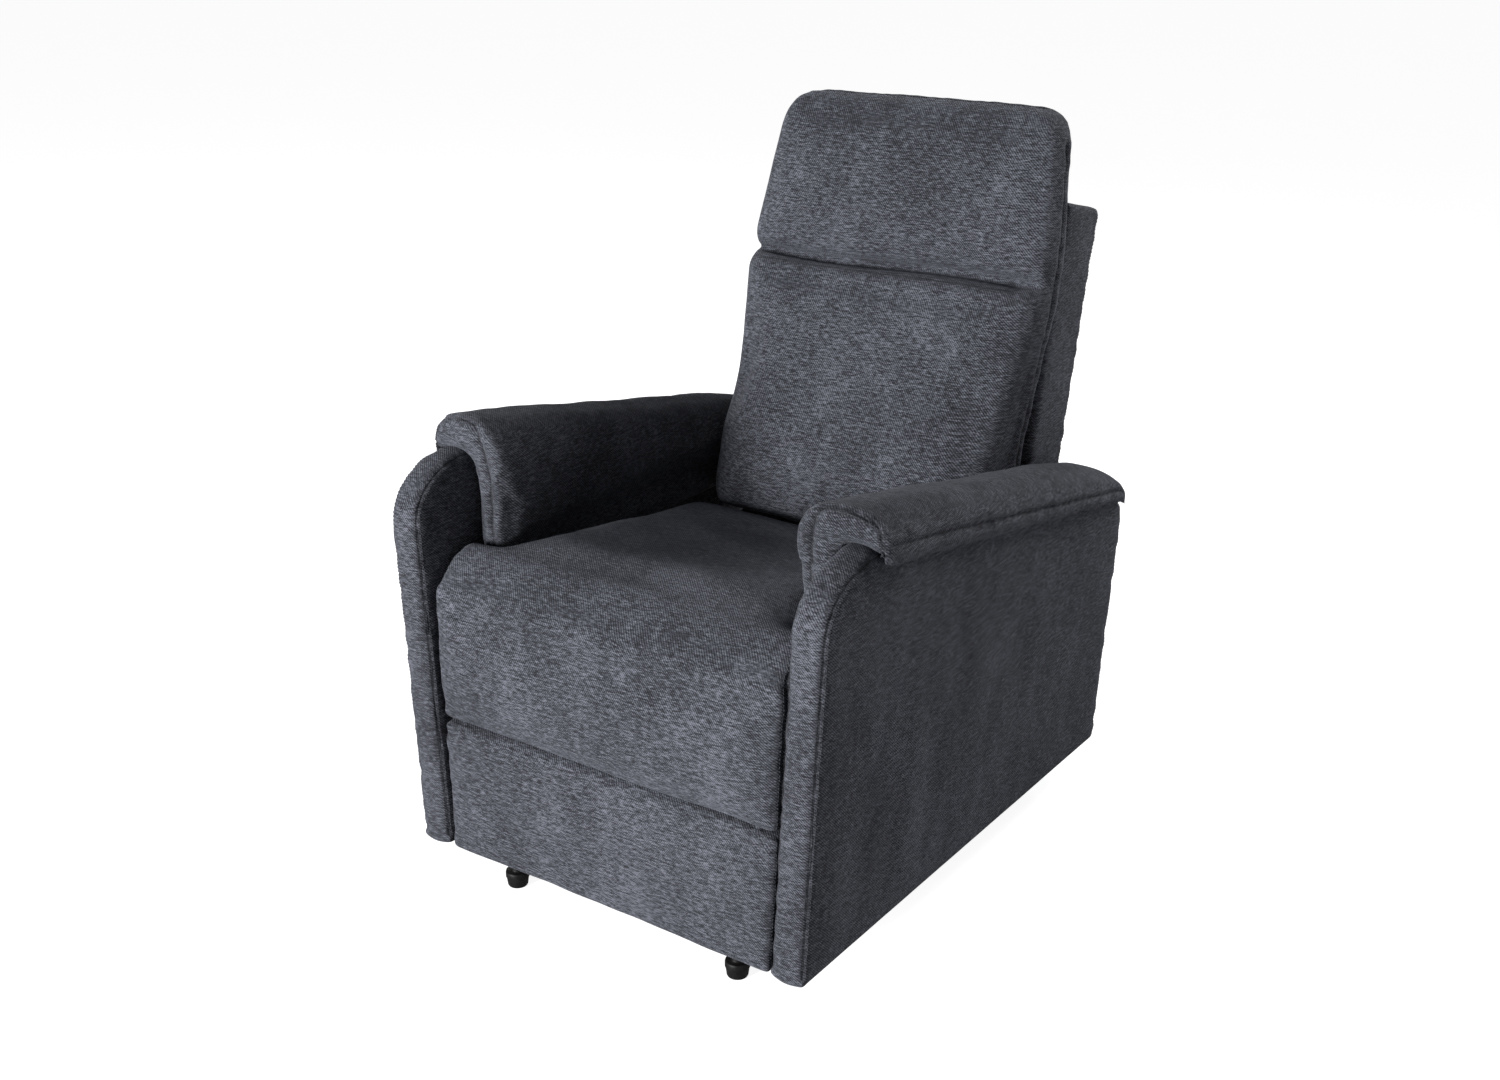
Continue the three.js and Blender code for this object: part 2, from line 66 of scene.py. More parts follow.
PAD_LOW, PAD_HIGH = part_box("leg_rest_pad_lower")
PAD_BOX = {name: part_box(f"arm_pad_{name}") for name in ("left", "right")}
PIVOT = next(Vector(j["pos_m"]) for j in frame["joints"] if j["name"] == "back_recline")
RISE = PIVOT.z - 0.350  # the level that the heights below are measured from, above the floor
LEAN = math.radians(12.8)  # of the backrest
FLARE = math.radians(2.96)  # of the arms
ARM_X = 0.345  # the arms' outer face at that level
ARM_T = 0.055  # thickness of an arm
ARM_DEPTH = ARM_HIGH.y - ARM_LOW.y
ARM_FOOT = 0.034  # the arms' lower edge
SHOULDER = (0.118, 0.543, 0.082)  # y, z and rise of the arm's front curve
HEEL = (0.840, 0.432, 0.060)  # y, z and radius of the arm's rear corner
SIDES = (("left", 1), ("right", -1))
SEAT_BEND = 0.096  # y at which the seat stops being level and starts to fall
SEAT_FALL = 0.1493  # how much it falls for each metre rearwards
SEAT_UNDER = 0.405  # underside of the seat cushion at the bend
LEG_BACK = 0.0485  # y of the board that the leg rest's pads lie against
CHANNEL = 0.482  # height up the back of the channel between head and lumbar part
BACK_REAR = 0.034  # v of the back cushion's rear face
VOXEL = 0.007  # size of the cells that a soft piece is skinned with


def at(x, y, z):
    """A point given by its distance behind the arms' front plane."""
    return Vector((x, FRONT + y, RISE + z))


def on_arm(side, inward, y, height):
    """A point in the leaning arm: inward from its outer face, and height along it."""
    return Vector(
        (
            side * (ARM_X - inward * math.cos(FLARE) + height * math.sin(FLARE)),
            FRONT + y,
            RISE + inward * math.sin(FLARE) + height * math.cos(FLARE),
        )
    )


def on_back(x, v, w):
    """A point in the leaning backrest: v rearwards from its pivot and w up it."""
    return Vector(
        (
            x,
            PIVOT.y + v * math.cos(LEAN) + w * math.sin(LEAN),
            PIVOT.z - v * math.sin(LEAN) + w * math.cos(LEAN),
        )
    )


def arm_top(y):
    """Height of the arm's top edge, y behind its front."""
    centre, z, rise = SHOULDER
    if y < centre:
        return z + rise * math.sqrt(max(0.0, 1 - ((centre - y) / centre) ** 2))
    if y > HEEL[0]:
        return HEEL[1] + math.sqrt(max(0.0, HEEL[2] ** 2 - (y - HEEL[0]) ** 2))
    share = (y - centre) / (HEEL[0] - centre)
    return (z + rise) * (1 - share) + (HEEL[1] + HEEL[2]) * share


def ease(value, low, high):
    """0 below low, 1 above high, and smooth between."""
    t = np.clip((value - low) / (high - low), 0, 1)
    return t * t * (3 - 2 * t)


# ------------------------------------------------------------------ mesh helpers
def make(name, points, faces):
    """A mesh object with doubles merged, faces turned outwards and large end faces split up."""
    mesh = bpy.data.meshes.new(name)
    mesh.from_pydata([tuple(p) for p in points], [], faces)
    obj = bpy.data.objects.new(name, mesh)
    scene.collection.objects.link(obj)
    bm = bmesh.new()
    bm.from_mesh(mesh)
    bmesh.ops.remove_doubles(bm, verts=bm.verts, dist=1e-5)
    bmesh.ops.recalc_face_normals(bm, faces=bm.faces)
    bmesh.ops.triangulate(bm, faces=[f for f in bm.faces if len(f.verts) > 12])
    bm.to_mesh(mesh)
    bm.free()
    return obj


def loft(rings, start=0):
    """Points and faces of a closed body through rings of equal length."""
    count = len(rings[0])
    points = [p for ring in rings for p in ring]
    faces = []
    for r in range(len(rings) - 1):
        for i in range(count):
            j = (i + 1) % count
            a, b = start + r * count, start + (r + 1) * count
            faces.append((a + i, a + j, b + j, b + i))
    faces.append(tuple(start + i for i in range(count)))
    faces.append(tuple(start + (len(rings) - 1) * count + i for i in range(count)))
    return points, faces


def union(name, lofts):
    """Several lofts in one mesh, to be made into one skin by remeshing."""
    points, faces = [], []
    for rings in lofts:
        more, indices = loft(rings, len(points))
        points += more
        faces += indices
    return make(name, points, faces)


def applied(obj):
    """Applies every modifier."""
    graph = bpy.context.evaluated_depsgraph_get()
    mesh = bpy.data.meshes.new_from_object(obj.evaluated_get(graph))
    obj.modifiers.clear()
    old, obj.data = obj.data, mesh
    bpy.data.meshes.remove(old)
    return obj


def coords(obj):
    """The mesh's points, one row each."""
    out = np.zeros(len(obj.data.vertices) * 3, np.float32)
    obj.data.vertices.foreach_get("co", out)
    return out.reshape(-1, 3).astype(float)


def normals(obj):
    """The mesh's point normals, one row each."""
    out = np.zeros(len(obj.data.vertices) * 3, np.float32)
    obj.data.vertices.foreach_get("normal", out)
    return out.reshape(-1, 3).astype(float)


def set_coords(obj, points):
    obj.data.vertices.foreach_set("co", points.astype(np.float32).ravel())
    obj.data.update()


def skin(obj):
    """One even skin over lofts that overlap."""
    mod = obj.modifiers.new("skin", "REMESH")
    mod.mode = "VOXEL"
    mod.voxel_size = VOXEL
    return applied(obj)


def relax(obj, rounds, factor=0.5, keep=None):
    """Smooths a mesh by moving each point towards its neighbours' mean."""
    edges = np.zeros(len(obj.data.edges) * 2, np.int32)
    obj.data.edges.foreach_get("vertices", edges)
    a, b = edges.reshape(-1, 2).T
    points = coords(obj)
    count = np.zeros(len(points))
    np.add.at(count, a, 1)
    np.add.at(count, b, 1)
    share = np.full(len(points), factor) if keep is None else factor * (1 - keep)
    for _ in range(rounds):
        total = np.zeros_like(points)
        np.add.at(total, a, points[b])
        np.add.at(total, b, points[a])
        points += (total / count[:, None] - points) * share[:, None]
    set_coords(obj, points)
    return obj


INWARD, SIDEWAYS = 0.002, 0.005  # furthest a point may sink or slide as a piece fills


def inflate(obj, cap, held, pressure=4.0, frames=20):
    """Blows a skin up as cloth, with the held points fixed and no point moving further than cap."""
    before = coords(obj)
    group = obj.vertex_groups.new(name="held")
    for value in (0.25, 0.5, 0.75, 1.0):
        ids = np.nonzero(np.abs(held - value) <= 0.125)[0]
        if len(ids):
            group.add([int(i) for i in ids], value, "REPLACE")
    mod = obj.modifiers.new("cloth", "CLOTH")
    s = mod.settings
    s.quality = 4
    s.mass = 0.3
    s.tension_stiffness = s.compression_stiffness = 14
    s.shear_stiffness = 6
    s.bending_stiffness = 0.8
    s.use_pressure = True
    s.uniform_pressure_force = pressure
    s.effector_weights.gravity = 0
    s.vertex_group_mass = "held"
    mod.collision_settings.use_collision = False
    mod.point_cache.frame_start, mod.point_cache.frame_end = 1, frames
    for f in range(1, frames + 1):
        scene.frame_set(f)
    graph = bpy.context.evaluated_depsgraph_get()
    moved = coords(obj.evaluated_get(graph))
    obj.modifiers.clear()
    scene.frame_set(1)
    out = normals(obj)
    step = moved - before
    lift = (step * out).sum(axis=1)
    slide = step - out * lift[:, None]
    slid = np.linalg.norm(slide, axis=1) + 1e-9
    lift = np.where(lift > 0, cap * np.tanh(lift / cap), INWARD * np.tanh(lift / INWARD))
    slide *= (SIDEWAYS * np.tanh(slid / SIDEWAYS) / slid)[:, None]
    set_coords(obj, before + out * lift[:, None] + slide)
    obj.vertex_groups.clear()
    return relax(obj, 3, keep=held)


def crumple(obj, amount, size, seed, hold=None):
    """Adds soft irregular folds along the normals. size is the fold's length on each axis."""
    points, out = coords(obj), normals(obj)
    shift = Vector((seed * 3.1, seed * 1.7, seed * 2.3))
    scale = Vector(size)
    wave = np.array(
        [
            noise.noise(Vector((p[0] / scale.x, p[1] / scale.y, p[2] / scale.z)) + shift)
            for p in points
        ]
    )
    if hold is not None:
        wave *= 1 - hold
    set_coords(obj, points + out * (wave * amount)[:, None])
    return obj


def pucker(obj, centre, across, up, reach, folds, amount, seed=0.0):
    """Short folds that run out from a point where the cloth is pulled."""
    points, out = coords(obj), normals(obj)
    away = points - np.array(centre)
    a, b = away @ np.array(across), away @ np.array(up)
    distance = np.linalg.norm(away, axis=1)
    angle = np.arctan2(b, a)
    wave = np.sin(folds * angle + seed + 2.0 * np.sin(angle * 2 + seed))
    near = np.exp(-((distance / reach) ** 2)) * ease(distance, 0.004, 0.016)
    set_coords(obj, points + out * (amount * wave * near)[:, None])
    return obj


def subdivided(obj, levels=1):
    mod = obj.modifiers.new("smooth", "SUBSURF")
    mod.levels = mod.render_levels = levels
    applied(obj)
    for poly in obj.data.polygons:
        poly.use_smooth = True
    return obj


def along(points, step):
    """Points at even steps along a line."""
    points = [Vector(p) for p in points]
    out, carry = [points[0]], 0.0
    for a, b in zip(points, points[1:]):
        length = (b - a).length
        d = step - carry
        while d <= length:
            out.append(a.lerp(b, d / length))
            d += step
        carry = length - (d - step)
    return out


def rounded(points, rounds=2):
    """A smoother line through the same ends."""
    for _ in range(rounds):
        out = [points[0]]
        for a, b in zip(points, points[1:]):
            out += [a.lerp(b, 0.25), a.lerp(b, 0.75)]
        points = out + [points[-1]]
    return points


def surface(obj):
    """A tree for finding the nearest place on a mesh."""
    return BVHTree.FromPolygons([v.co for v in obj.data.vertices], [p.vertices for p in obj.data.polygons])


def tree_of(points):
    """A tree for finding the nearest of some points."""
    kd = KDTree(len(points))
    for i, p in enumerate(points):
        kd.insert(p, i)
    kd.balance()
    return kd


SEAM_FAR = 0.03  # distances from a seam are stored up to this
SEAM_STEP = 0.003  # between the points that a seam is laid through


def sew(obj, lines, depth, width, offset):
    """Pulls a soft piece in along its seams, stores each point's distance from one, and adds the stitches."""
    tree = surface(obj)
    laid = []
    for line in lines:
        snapped = []
        for p in along(rounded(line), SEAM_STEP):
            place, normal, _, _ = tree.find_nearest(p)
            snapped.append((place, normal))
        laid.append(snapped)
    kd = tree_of([place for line in laid for place, _ in line])
    points, out = coords(obj), normals(obj)
    far = np.array([min(SEAM_FAR, kd.find(Vector(p))[2]) for p in points])
    beside = np.exp(-(((far - 0.011) / 0.006) ** 2))
    dip = depth * np.exp(-((far / width) ** 2)) - depth * 0.25 * beside
    near = np.nonzero(far < 0.028)[0]
    pull = np.array([noise.noise(Vector(points[i] * 55)) for i in near])
    dip[near] += 0.0022 * np.exp(-((far[near] / 0.014) ** 2)) * pull
    set_coords(obj, points - out * dip[:, None])
    attribute = obj.data.attributes.new("seam", "FLOAT", "POINT")
    attribute.data.foreach_set("value", far.astype(np.float32))
    stitch(obj, laid, offset)
    return obj


def paint_channel_shade(obj, line):
    """Marks a channel as a seam in the cloth without adding stitches, so that the fabric paints shade along it."""
    points = coords(obj)
    tree = surface(obj)
    kd = tree_of([tree.find_nearest(p)[0] for p in along(line, SEAM_STEP)])
    values = np.zeros(len(points), np.float32)
    attribute = obj.data.attributes["seam"]
    attribute.data.foreach_get("value", values)
    far = np.array([kd.find(Vector(p))[2] for p in points])
    attribute.data.foreach_set("value", np.minimum(values, np.minimum(far, SEAM_FAR)).astype(np.float32))


THREAD_SIDES = 6
THREAD_RINGS = (  # how far along half a stitch, share of the full thickness, height over the cloth
    (-1.0, 0.2, -0.0003),
    (-0.6, 1, 0.0002),
    (0.6, 1, 0.0002),
    (1.0, 0.2, -0.0003),
)
THREAD_HALF, THREAD_WIDE, THREAD_HIGH = 0.0019, 0.00055, 0.00045


def stitch(obj, laid, offset):
    """Short raised threads beside each seam."""
    tree = surface(obj)
    points, faces = [], []
    angles = np.linspace(0, 2 * math.pi, THREAD_SIDES, endpoint=False)
    profile = [(math.cos(a), math.sin(a)) for a in angles]
    for line in laid:
        for i in range(0, len(line) - 2, 2):
            a, normal = line[i]
            b, _ = line[i + 1]
            way = (b - a).normalized()
            side = normal.cross(way)
            if way.length < 0.5 or side.length < 0.5:
                continue
            centre = (a + b) / 2 + side.normalized() * offset
            place, up, _, _ = tree.find_nearest(centre)
            across = up.cross(way).normalized()
            start = len(points)
            for end, size, lift in THREAD_RINGS:
                for c, s in profile:
                    wide = across * (THREAD_WIDE * size * c)
                    high = up * (THREAD_HIGH * size * s + lift)
                    points.append(place + way * (THREAD_HALF * end) + wide + high)
            for ring in range(len(THREAD_RINGS) - 1):
                low = start + ring * THREAD_SIDES
                for k in range(THREAD_SIDES):
                    j = (k + 1) % THREAD_SIDES
                    faces.append((low + k, low + j, low + THREAD_SIDES + j, low + THREAD_SIDES + k))
    mesh = bpy.data.meshes.new(obj.name + "_stitching")
    mesh.from_pydata(points, [], faces)
    threads = bpy.data.objects.new(obj.name + "_stitching", mesh)
    scene.collection.objects.link(threads)
    for poly in mesh.polygons:
        poly.use_smooth = True
    mesh.materials.append(THREAD)


def lay_cloth(obj, material):
    """Gives a piece its fabric, which keeps its place on the piece as the piece bends."""
    points, out = coords(obj), normals(obj)
    for name, values in (("weave", points), ("weave_n", out)):
        attribute = obj.data.attributes.new(name, "FLOAT_VECTOR", "POINT")
        attribute.data.foreach_set("vector", values.astype(np.float32).ravel())
    if "seam" not in obj.data.attributes:
        attribute = obj.data.attributes.new("seam", "FLOAT", "POINT")
        attribute.data.foreach_set("value", np.full(len(points), SEAM_FAR, np.float32))
    obj.data.materials.clear()
    obj.data.materials.append(material)
    for poly in obj.data.polygons:
        poly.use_smooth = True
    return obj


# ------------------------------------------------------------------ materials
class Nodes:
    """Short names for building a node tree."""

    def __init__(self, tree):
        self.tree = tree

    def add(self, kind, inputs=None, **settings):
        node = self.tree.nodes.new(kind)
        for key, value in settings.items():
            setattr(node, key, value)
        for key, value in (inputs or {}).items():
            socket = node.inputs[key]
            if isinstance(value, bpy.types.NodeSocket):
                self.tree.links.new(value, socket)
            else:
                socket.default_value = value
        return node

    def math(self, operation, a, b=0.0):
        return self.add("ShaderNodeMath", {0: a, 1: b}, operation=operation).outputs[0]

    def total(self, *parts):
        """The sum of values, each given with its weight."""
        value = None
        for part, weight in parts:
            scaled = self.math("MULTIPLY", part, weight)
            value = scaled if value is None else self.math("ADD", value, scaled)
        return value

    def noise(self, place, scale, detail=2.0, rough=0.5, **settings):
        inputs = {"Vector": place, "Scale": scale, "Detail": detail, "Roughness": rough}
        return self.add("ShaderNodeTexNoise", inputs, **settings).outputs[0]

    def remap(self, value, low, high, start=0.0, end=1.0):
        """Takes start to end over to low to high, and holds it there outside them."""
        inputs = {"Value": value, "From Min": start, "From Max": end, "To Min": low, "To Max": high}
        return self.add("ShaderNodeMapRange", inputs).outputs[0]

    def bump(self, height, strength, distance):
        inputs = {"Height": height, "Strength": strength, "Distance": distance}
        return self.add("ShaderNodeBump", inputs).outputs[0]

    def here(self):
        """Places in the piece's own coordinates."""
        return self.add("ShaderNodeTexCoord").outputs["Object"]

    def link(self, a, b):
        self.tree.links.new(a, b)

    def ramp(self, value, stops):
        node = self.add("ShaderNodeValToRGB", {0: value})
        ramp = node.color_ramp
        while len(ramp.elements) < len(stops):
            ramp.elements.new(0.5)
        for element, (place, colour) in zip(ramp.elements, stops):
            element.position = place
            element.color = (*colour, 1.0)
        return node.outputs[0]

    def mix(self, factor, a, b, kind="MIX"):
        node = self.add("ShaderNodeMix", data_type="RGBA", blend_type=kind)
        for socket, value in ((0, factor), (6, a), (7, b)):
            if isinstance(value, bpy.types.NodeSocket):
                self.tree.links.new(value, node.inputs[socket])
            else:
                node.inputs[socket].default_value = value if socket == 0 else (*value, 1.0)
        return node.outputs[2]


def new_material(name):
    material = bpy.data.materials.new(name)
    material.use_nodes = True
    material.node_tree.nodes.clear()
    nodes = Nodes(material.node_tree)
    out = nodes.add("ShaderNodeOutputMaterial")
    shader = nodes.add("ShaderNodeBsdfPrincipled")
    nodes.link(shader.outputs[0], out.inputs[0])
    return material, nodes, shader.inputs


TWILL_PITCH = 0.0042  # metres from one diagonal rib of the cloth to the next


def weave_group():
    """One plane of the cloth: across and up in, how light the yarn is and how high it stands out."""
    group = bpy.data.node_groups.new("weave_plane", "ShaderNodeTree")
    for name, way in (("Across", "INPUT"), ("Up", "INPUT"), ("Tone", "OUTPUT"), ("Height", "OUTPUT")):
        group.interface.new_socket(name, in_out=way, socket_type="NodeSocketFloat")
    n = Nodes(group)
    source = n.add("NodeGroupInput")
    across, up = source.outputs[0], source.outputs[1]

    def yarns(per_metre_across, per_metre_up, detail, rough):
        inputs = {0: n.math("MULTIPLY", across, per_metre_across), 1: n.math("MULTIPLY", up, per_metre_up)}
        place = n.add("ShaderNodeCombineXYZ", inputs).outputs[0]
        return n.noise(place, 1.0, detail, rough, noise_dimensions="2D")

    slub = yarns(108.0, 490.0, 3.0, 0.75)
    streak = yarns(36.0, 280.0, 2.0, 0.6)
    warp = yarns(520.0, 90.0, 2.0, 0.6)
    fuzz = yarns(900.0, 900.0, 2.0, 0.7)
    turns = 2 * math.pi / TWILL_PITCH
    lengthwise = n.math("MULTIPLY", across, turns)
    rows = n.math("MULTIPLY", up, turns)
    rib = n.math("SINE", n.math("MULTIPLY", rows, 2.0))
    wobble = n.math("MULTIPLY", n.math("SUBTRACT", slub, 0.5), 3.0)
    twill = n.math("SINE", n.math("ADD", n.math("ADD", lengthwise, rows), wobble))
    tone = n.total((slub, 0.68), (streak, 0.29), (warp, 0.08), (fuzz, 0.20), (twill, 0.075))
    height = n.total((twill, 0.30), (rib, 0.10), (slub, 1.1), (fuzz, 0.6))
    end = n.add("NodeGroupOutput")
    n.link(n.math("SUBTRACT", tone, 0.125), end.inputs[0])
    n.link(height, end.inputs[1])
    return group


def fabric_material(name, dark, middle, light):
    """Slubbed cloth laid in the plane that each part of a piece faces, with shade painted into and beside its
    seams and sewn channel.
    """
    material, n, shader = new_material(name)
    group = weave_group()
    place = n.add("ShaderNodeAttribute", attribute_name="weave").outputs["Vector"]
    facing = n.add("ShaderNodeAttribute", attribute_name="weave_n").outputs["Vector"]
    p = n.add("ShaderNodeSeparateXYZ", {0: place}).outputs
    f = n.add("ShaderNodeSeparateXYZ", {0: facing}).outputs
    weights = [n.math("POWER", n.math("ABSOLUTE", f[i]), 5.0) for i in range(3)]
    total = n.math("ADD", n.math("ADD", weights[0], weights[1]), n.math("ADD", weights[2], 1e-4))
    planes = []
    for across, up in ((p[1], p[2]), (p[0], p[2]), (p[0], p[1])):
        node = n.add("ShaderNodeGroup", node_tree=group)
        n.link(across, node.inputs[0])
        n.link(up, node.inputs[1])
        planes.append(node.outputs)
    shares = [n.math("DIVIDE", weight, total) for weight in weights]
    tone = n.total(*((plane[0], share) for plane, share in zip(planes, shares)))
    height = n.total(*((plane[1], share) for plane, share in zip(planes, shares)))

    upright = n.add("ShaderNodeMapping", {"Vector": place, "Scale": (1.0, 1.0, 0.6)}).outputs[0]
    blotch = n.math("SUBTRACT", n.noise(upright, 8.0), 0.5)
    nap = n.math("SUBTRACT", n.noise(place, 38.0), 0.5)
    tone = n.math("ADD", tone, n.total((blotch, 0.19), (nap, 0.09)))
    colour = n.ramp(tone, ((0.37, dark), (0.5, middle), (0.65, light)))
    # Painted shade: the colour is darkened to 0.22 on each seam and channel line, and more faintly up to 16 mm
    # beside it; line also raises the bump away from the seam.
    seam = n.add("ShaderNodeAttribute", attribute_name="seam").outputs["Fac"]
    line = n.remap(seam, 0.0, 1.0, 0.0007, 0.0032)
    wide_painted_shade = n.remap(seam, 0.0, 1.0, 0.0, 0.016)
    painted_seam_shade = n.math("ADD", n.total((line, 0.62), (wide_painted_shade, 0.16)), 0.22)
    painted_shade_grey = n.add("ShaderNodeCombineColor", {0: painted_seam_shade, 1: painted_seam_shade, 2: painted_seam_shade}).outputs[0]
    n.link(n.mix(1.0, colour, painted_shade_grey, "MULTIPLY"), shader["Base Color"])
    n.link(n.remap(tone, 0.98, 0.82), shader["Roughness"])
    shader["Specular IOR Level"].default_value = 0.22
    shader["Sheen Weight"].default_value = 0.08
    shader["Sheen Roughness"].default_value = 0.55
    shader["Sheen Tint"].default_value = (0.75, 0.8, 0.95, 1)
    height = n.math("ADD", height, n.math("MULTIPLY", line, 2.0))
    n.link(n.bump(height, 0.75, 0.0009), shader["Normal"])
    return material


def thread_material():
    material, n, shader = new_material("thread")
    twist = n.noise(n.here(), 900.0)
    colour = n.ramp(twist, ((0.3, (0.010, 0.011, 0.015)), (0.7, (0.045, 0.048, 0.060))))
    n.link(colour, shader["Base Color"])
    shader["Roughness"].default_value = 0.7
    return material


def steel_material():
    """Black powder coat, rubbed paler along its edges."""
    material, n, shader = new_material("black_powder_coat")
    place = n.here()
    grain = n.noise(place, 1400.0)
    cloud = n.noise(place, 14.0, 4.0)
    edge = n.add("ShaderNodeNewGeometry").outputs["Pointiness"]
    worn = n.math("MULTIPLY", n.remap(edge, 0.0, 1.0, 0.53, 0.6), cloud)
    coat = n.ramp(cloud, ((0.3, (0.012, 0.012, 0.013)), (0.7, (0.026, 0.026, 0.028))))
    n.link(n.mix(worn, coat, (0.16, 0.155, 0.15)), shader["Base Color"])
    n.link(n.remap(cloud, 0.34, 0.52), shader["Roughness"])
    shader["Metallic"].default_value = 0.35
    n.link(n.bump(grain, 0.25, 0.0002), shader["Normal"])
    return material


def wire_material():
    material, n, shader = new_material("spring_steel")
    cloud = n.noise(n.here(), 60.0, 4.0)
    n.link(n.ramp(cloud, ((0.3, (0.22, 0.22, 0.225)), (0.7, (0.46, 0.46, 0.47)))), shader["Base Color"])
    n.link(n.remap(cloud, 0.22, 0.45), shader["Roughness"])
    shader["Metallic"].default_value = 0.95
    return material


def wood_material():
    """Timber with its grain along the piece's X."""
    material, n, shader = new_material("frame_timber")
    stretched = n.add("ShaderNodeMapping", {"Vector": n.here(), "Scale": (6.0, 60.0, 60.0)}).outputs[0]
    inputs = {"Vector": stretched, "Scale": 3.0, "Detail": 6.0, "Distortion": 0.6}
    grain = n.add("ShaderNodeTexNoise", inputs).outputs[0]
    both = n.total((grain, 0.75), (n.noise(stretched, 22.0, 3.0), 0.25))
    stops = ((0.35, (0.085, 0.050, 0.026)), (0.5, (0.14, 0.088, 0.048)), (0.68, (0.19, 0.128, 0.073)))
    n.link(n.ramp(both, stops), shader["Base Color"])
    shader["Roughness"].default_value = 0.62
    n.link(n.bump(both, 0.35, 0.0006), shader["Normal"])
    return material


def webbing_material():
    material, n, shader = new_material("elastic_webbing")
    p = n.add("ShaderNodeSeparateXYZ", {0: n.here()}).outputs
    ribs = n.math("SINE", n.math("MULTIPLY", p[2], 2200.0))
    yarn = n.math("SINE", n.math("MULTIPLY", p[0], 2600.0))
    both = n.math("ADD", n.math("MULTIPLY", n.math("MULTIPLY", ribs, yarn), 0.5), 0.5)
    n.link(n.ramp(both, ((0.2, (0.16, 0.13, 0.09)), (0.8, (0.36, 0.31, 0.22)))), shader["Base Color"])
    shader["Roughness"].default_value = 0.85
    n.link(n.bump(both, 0.5, 0.0006), shader["Normal"])
    return material


def plastic_material():
    material, n, shader = new_material("moulded_plastic")
    scuff = n.noise(n.here(), 120.0, 5.0, 0.7)
    colour = n.ramp(scuff, ((0.4, (0.002, 0.002, 0.002)), (0.75, (0.007, 0.007, 0.0075))))
    n.link(colour, shader["Base Color"])
    n.link(n.remap(scuff, 0.42, 0.62), shader["Roughness"])
    shader["Specular IOR Level"].default_value = 0.18
    n.link(n.bump(scuff, 0.15, 0.0003), shader["Normal"])
    return material


FABRIC = fabric_material("chenille", (0.0045, 0.0048, 0.0065), (0.026, 0.0275, 0.0345), (0.105, 0.110, 0.132))
THREAD = thread_material()
STEEL = steel_material()
WIRE = wire_material()
WOOD = wood_material()
WEBBING = webbing_material()
PLASTIC = plastic_material()


def finish_piece(obj, body, nodes):
    """Puts the fabric on a piece and its threads, and joins both to the frame."""
    lay_cloth(obj, FABRIC)
    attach(obj, body)
    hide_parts(*nodes)
    threads = bpy.data.objects.get(obj.name + "_stitching")
    if threads:
        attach(threads, body)


# ------------------------------------------------------------------ arms
def arm_outline(step=0.014):
    """The arm's side view as evenly spaced [y, height], from the rear bottom corner up, forwards and down."""
    centre, z, rise = SHOULDER
    over = [Vector((ARM_DEPTH, ARM_FOOT + 0.004, 0)), Vector((ARM_DEPTH, HEEL[1], 0))]
    over += [
        Vector((HEEL[0] + HEEL[2] * math.cos(a), HEEL[1] + HEEL[2] * math.sin(a), 0))
        for a in np.linspace(0.15, math.pi / 2, 8)
    ]
    over += [
        Vector((centre + centre * math.cos(a), z + rise * math.sin(a), 0))
        for a in np.linspace(math.pi / 2, math.pi, 16)
    ]
    over += [Vector((0, ARM_FOOT + 0.004, 0))]
    under = [Vector((0.004, ARM_FOOT, 0)), Vector((ARM_DEPTH - 0.004, ARM_FOOT, 0))]
    line = []
    for part in (over, under):
        line += [p for p in along(part, step) if (p - part[-1]).length > step / 3] + [part[-1]]
    return [(p.x, p.y) for p in line]


ARM_SPINE = ((0.22, 0.30), (0.66, 0.27))  # the line that the rings of an arm's panels shrink towards
PANEL_RINGS = (0.9, 0.8, 0.69, 0.58, 0.46, 0.35, 0.26, 0.18, 0.12, 0.075, 0.045, 0.022, 0.008)
BAND_RINGS = (0.03, 0.09, 0.2, 0.35, 0.5, 0.65, 0.8, 0.91, 0.97)


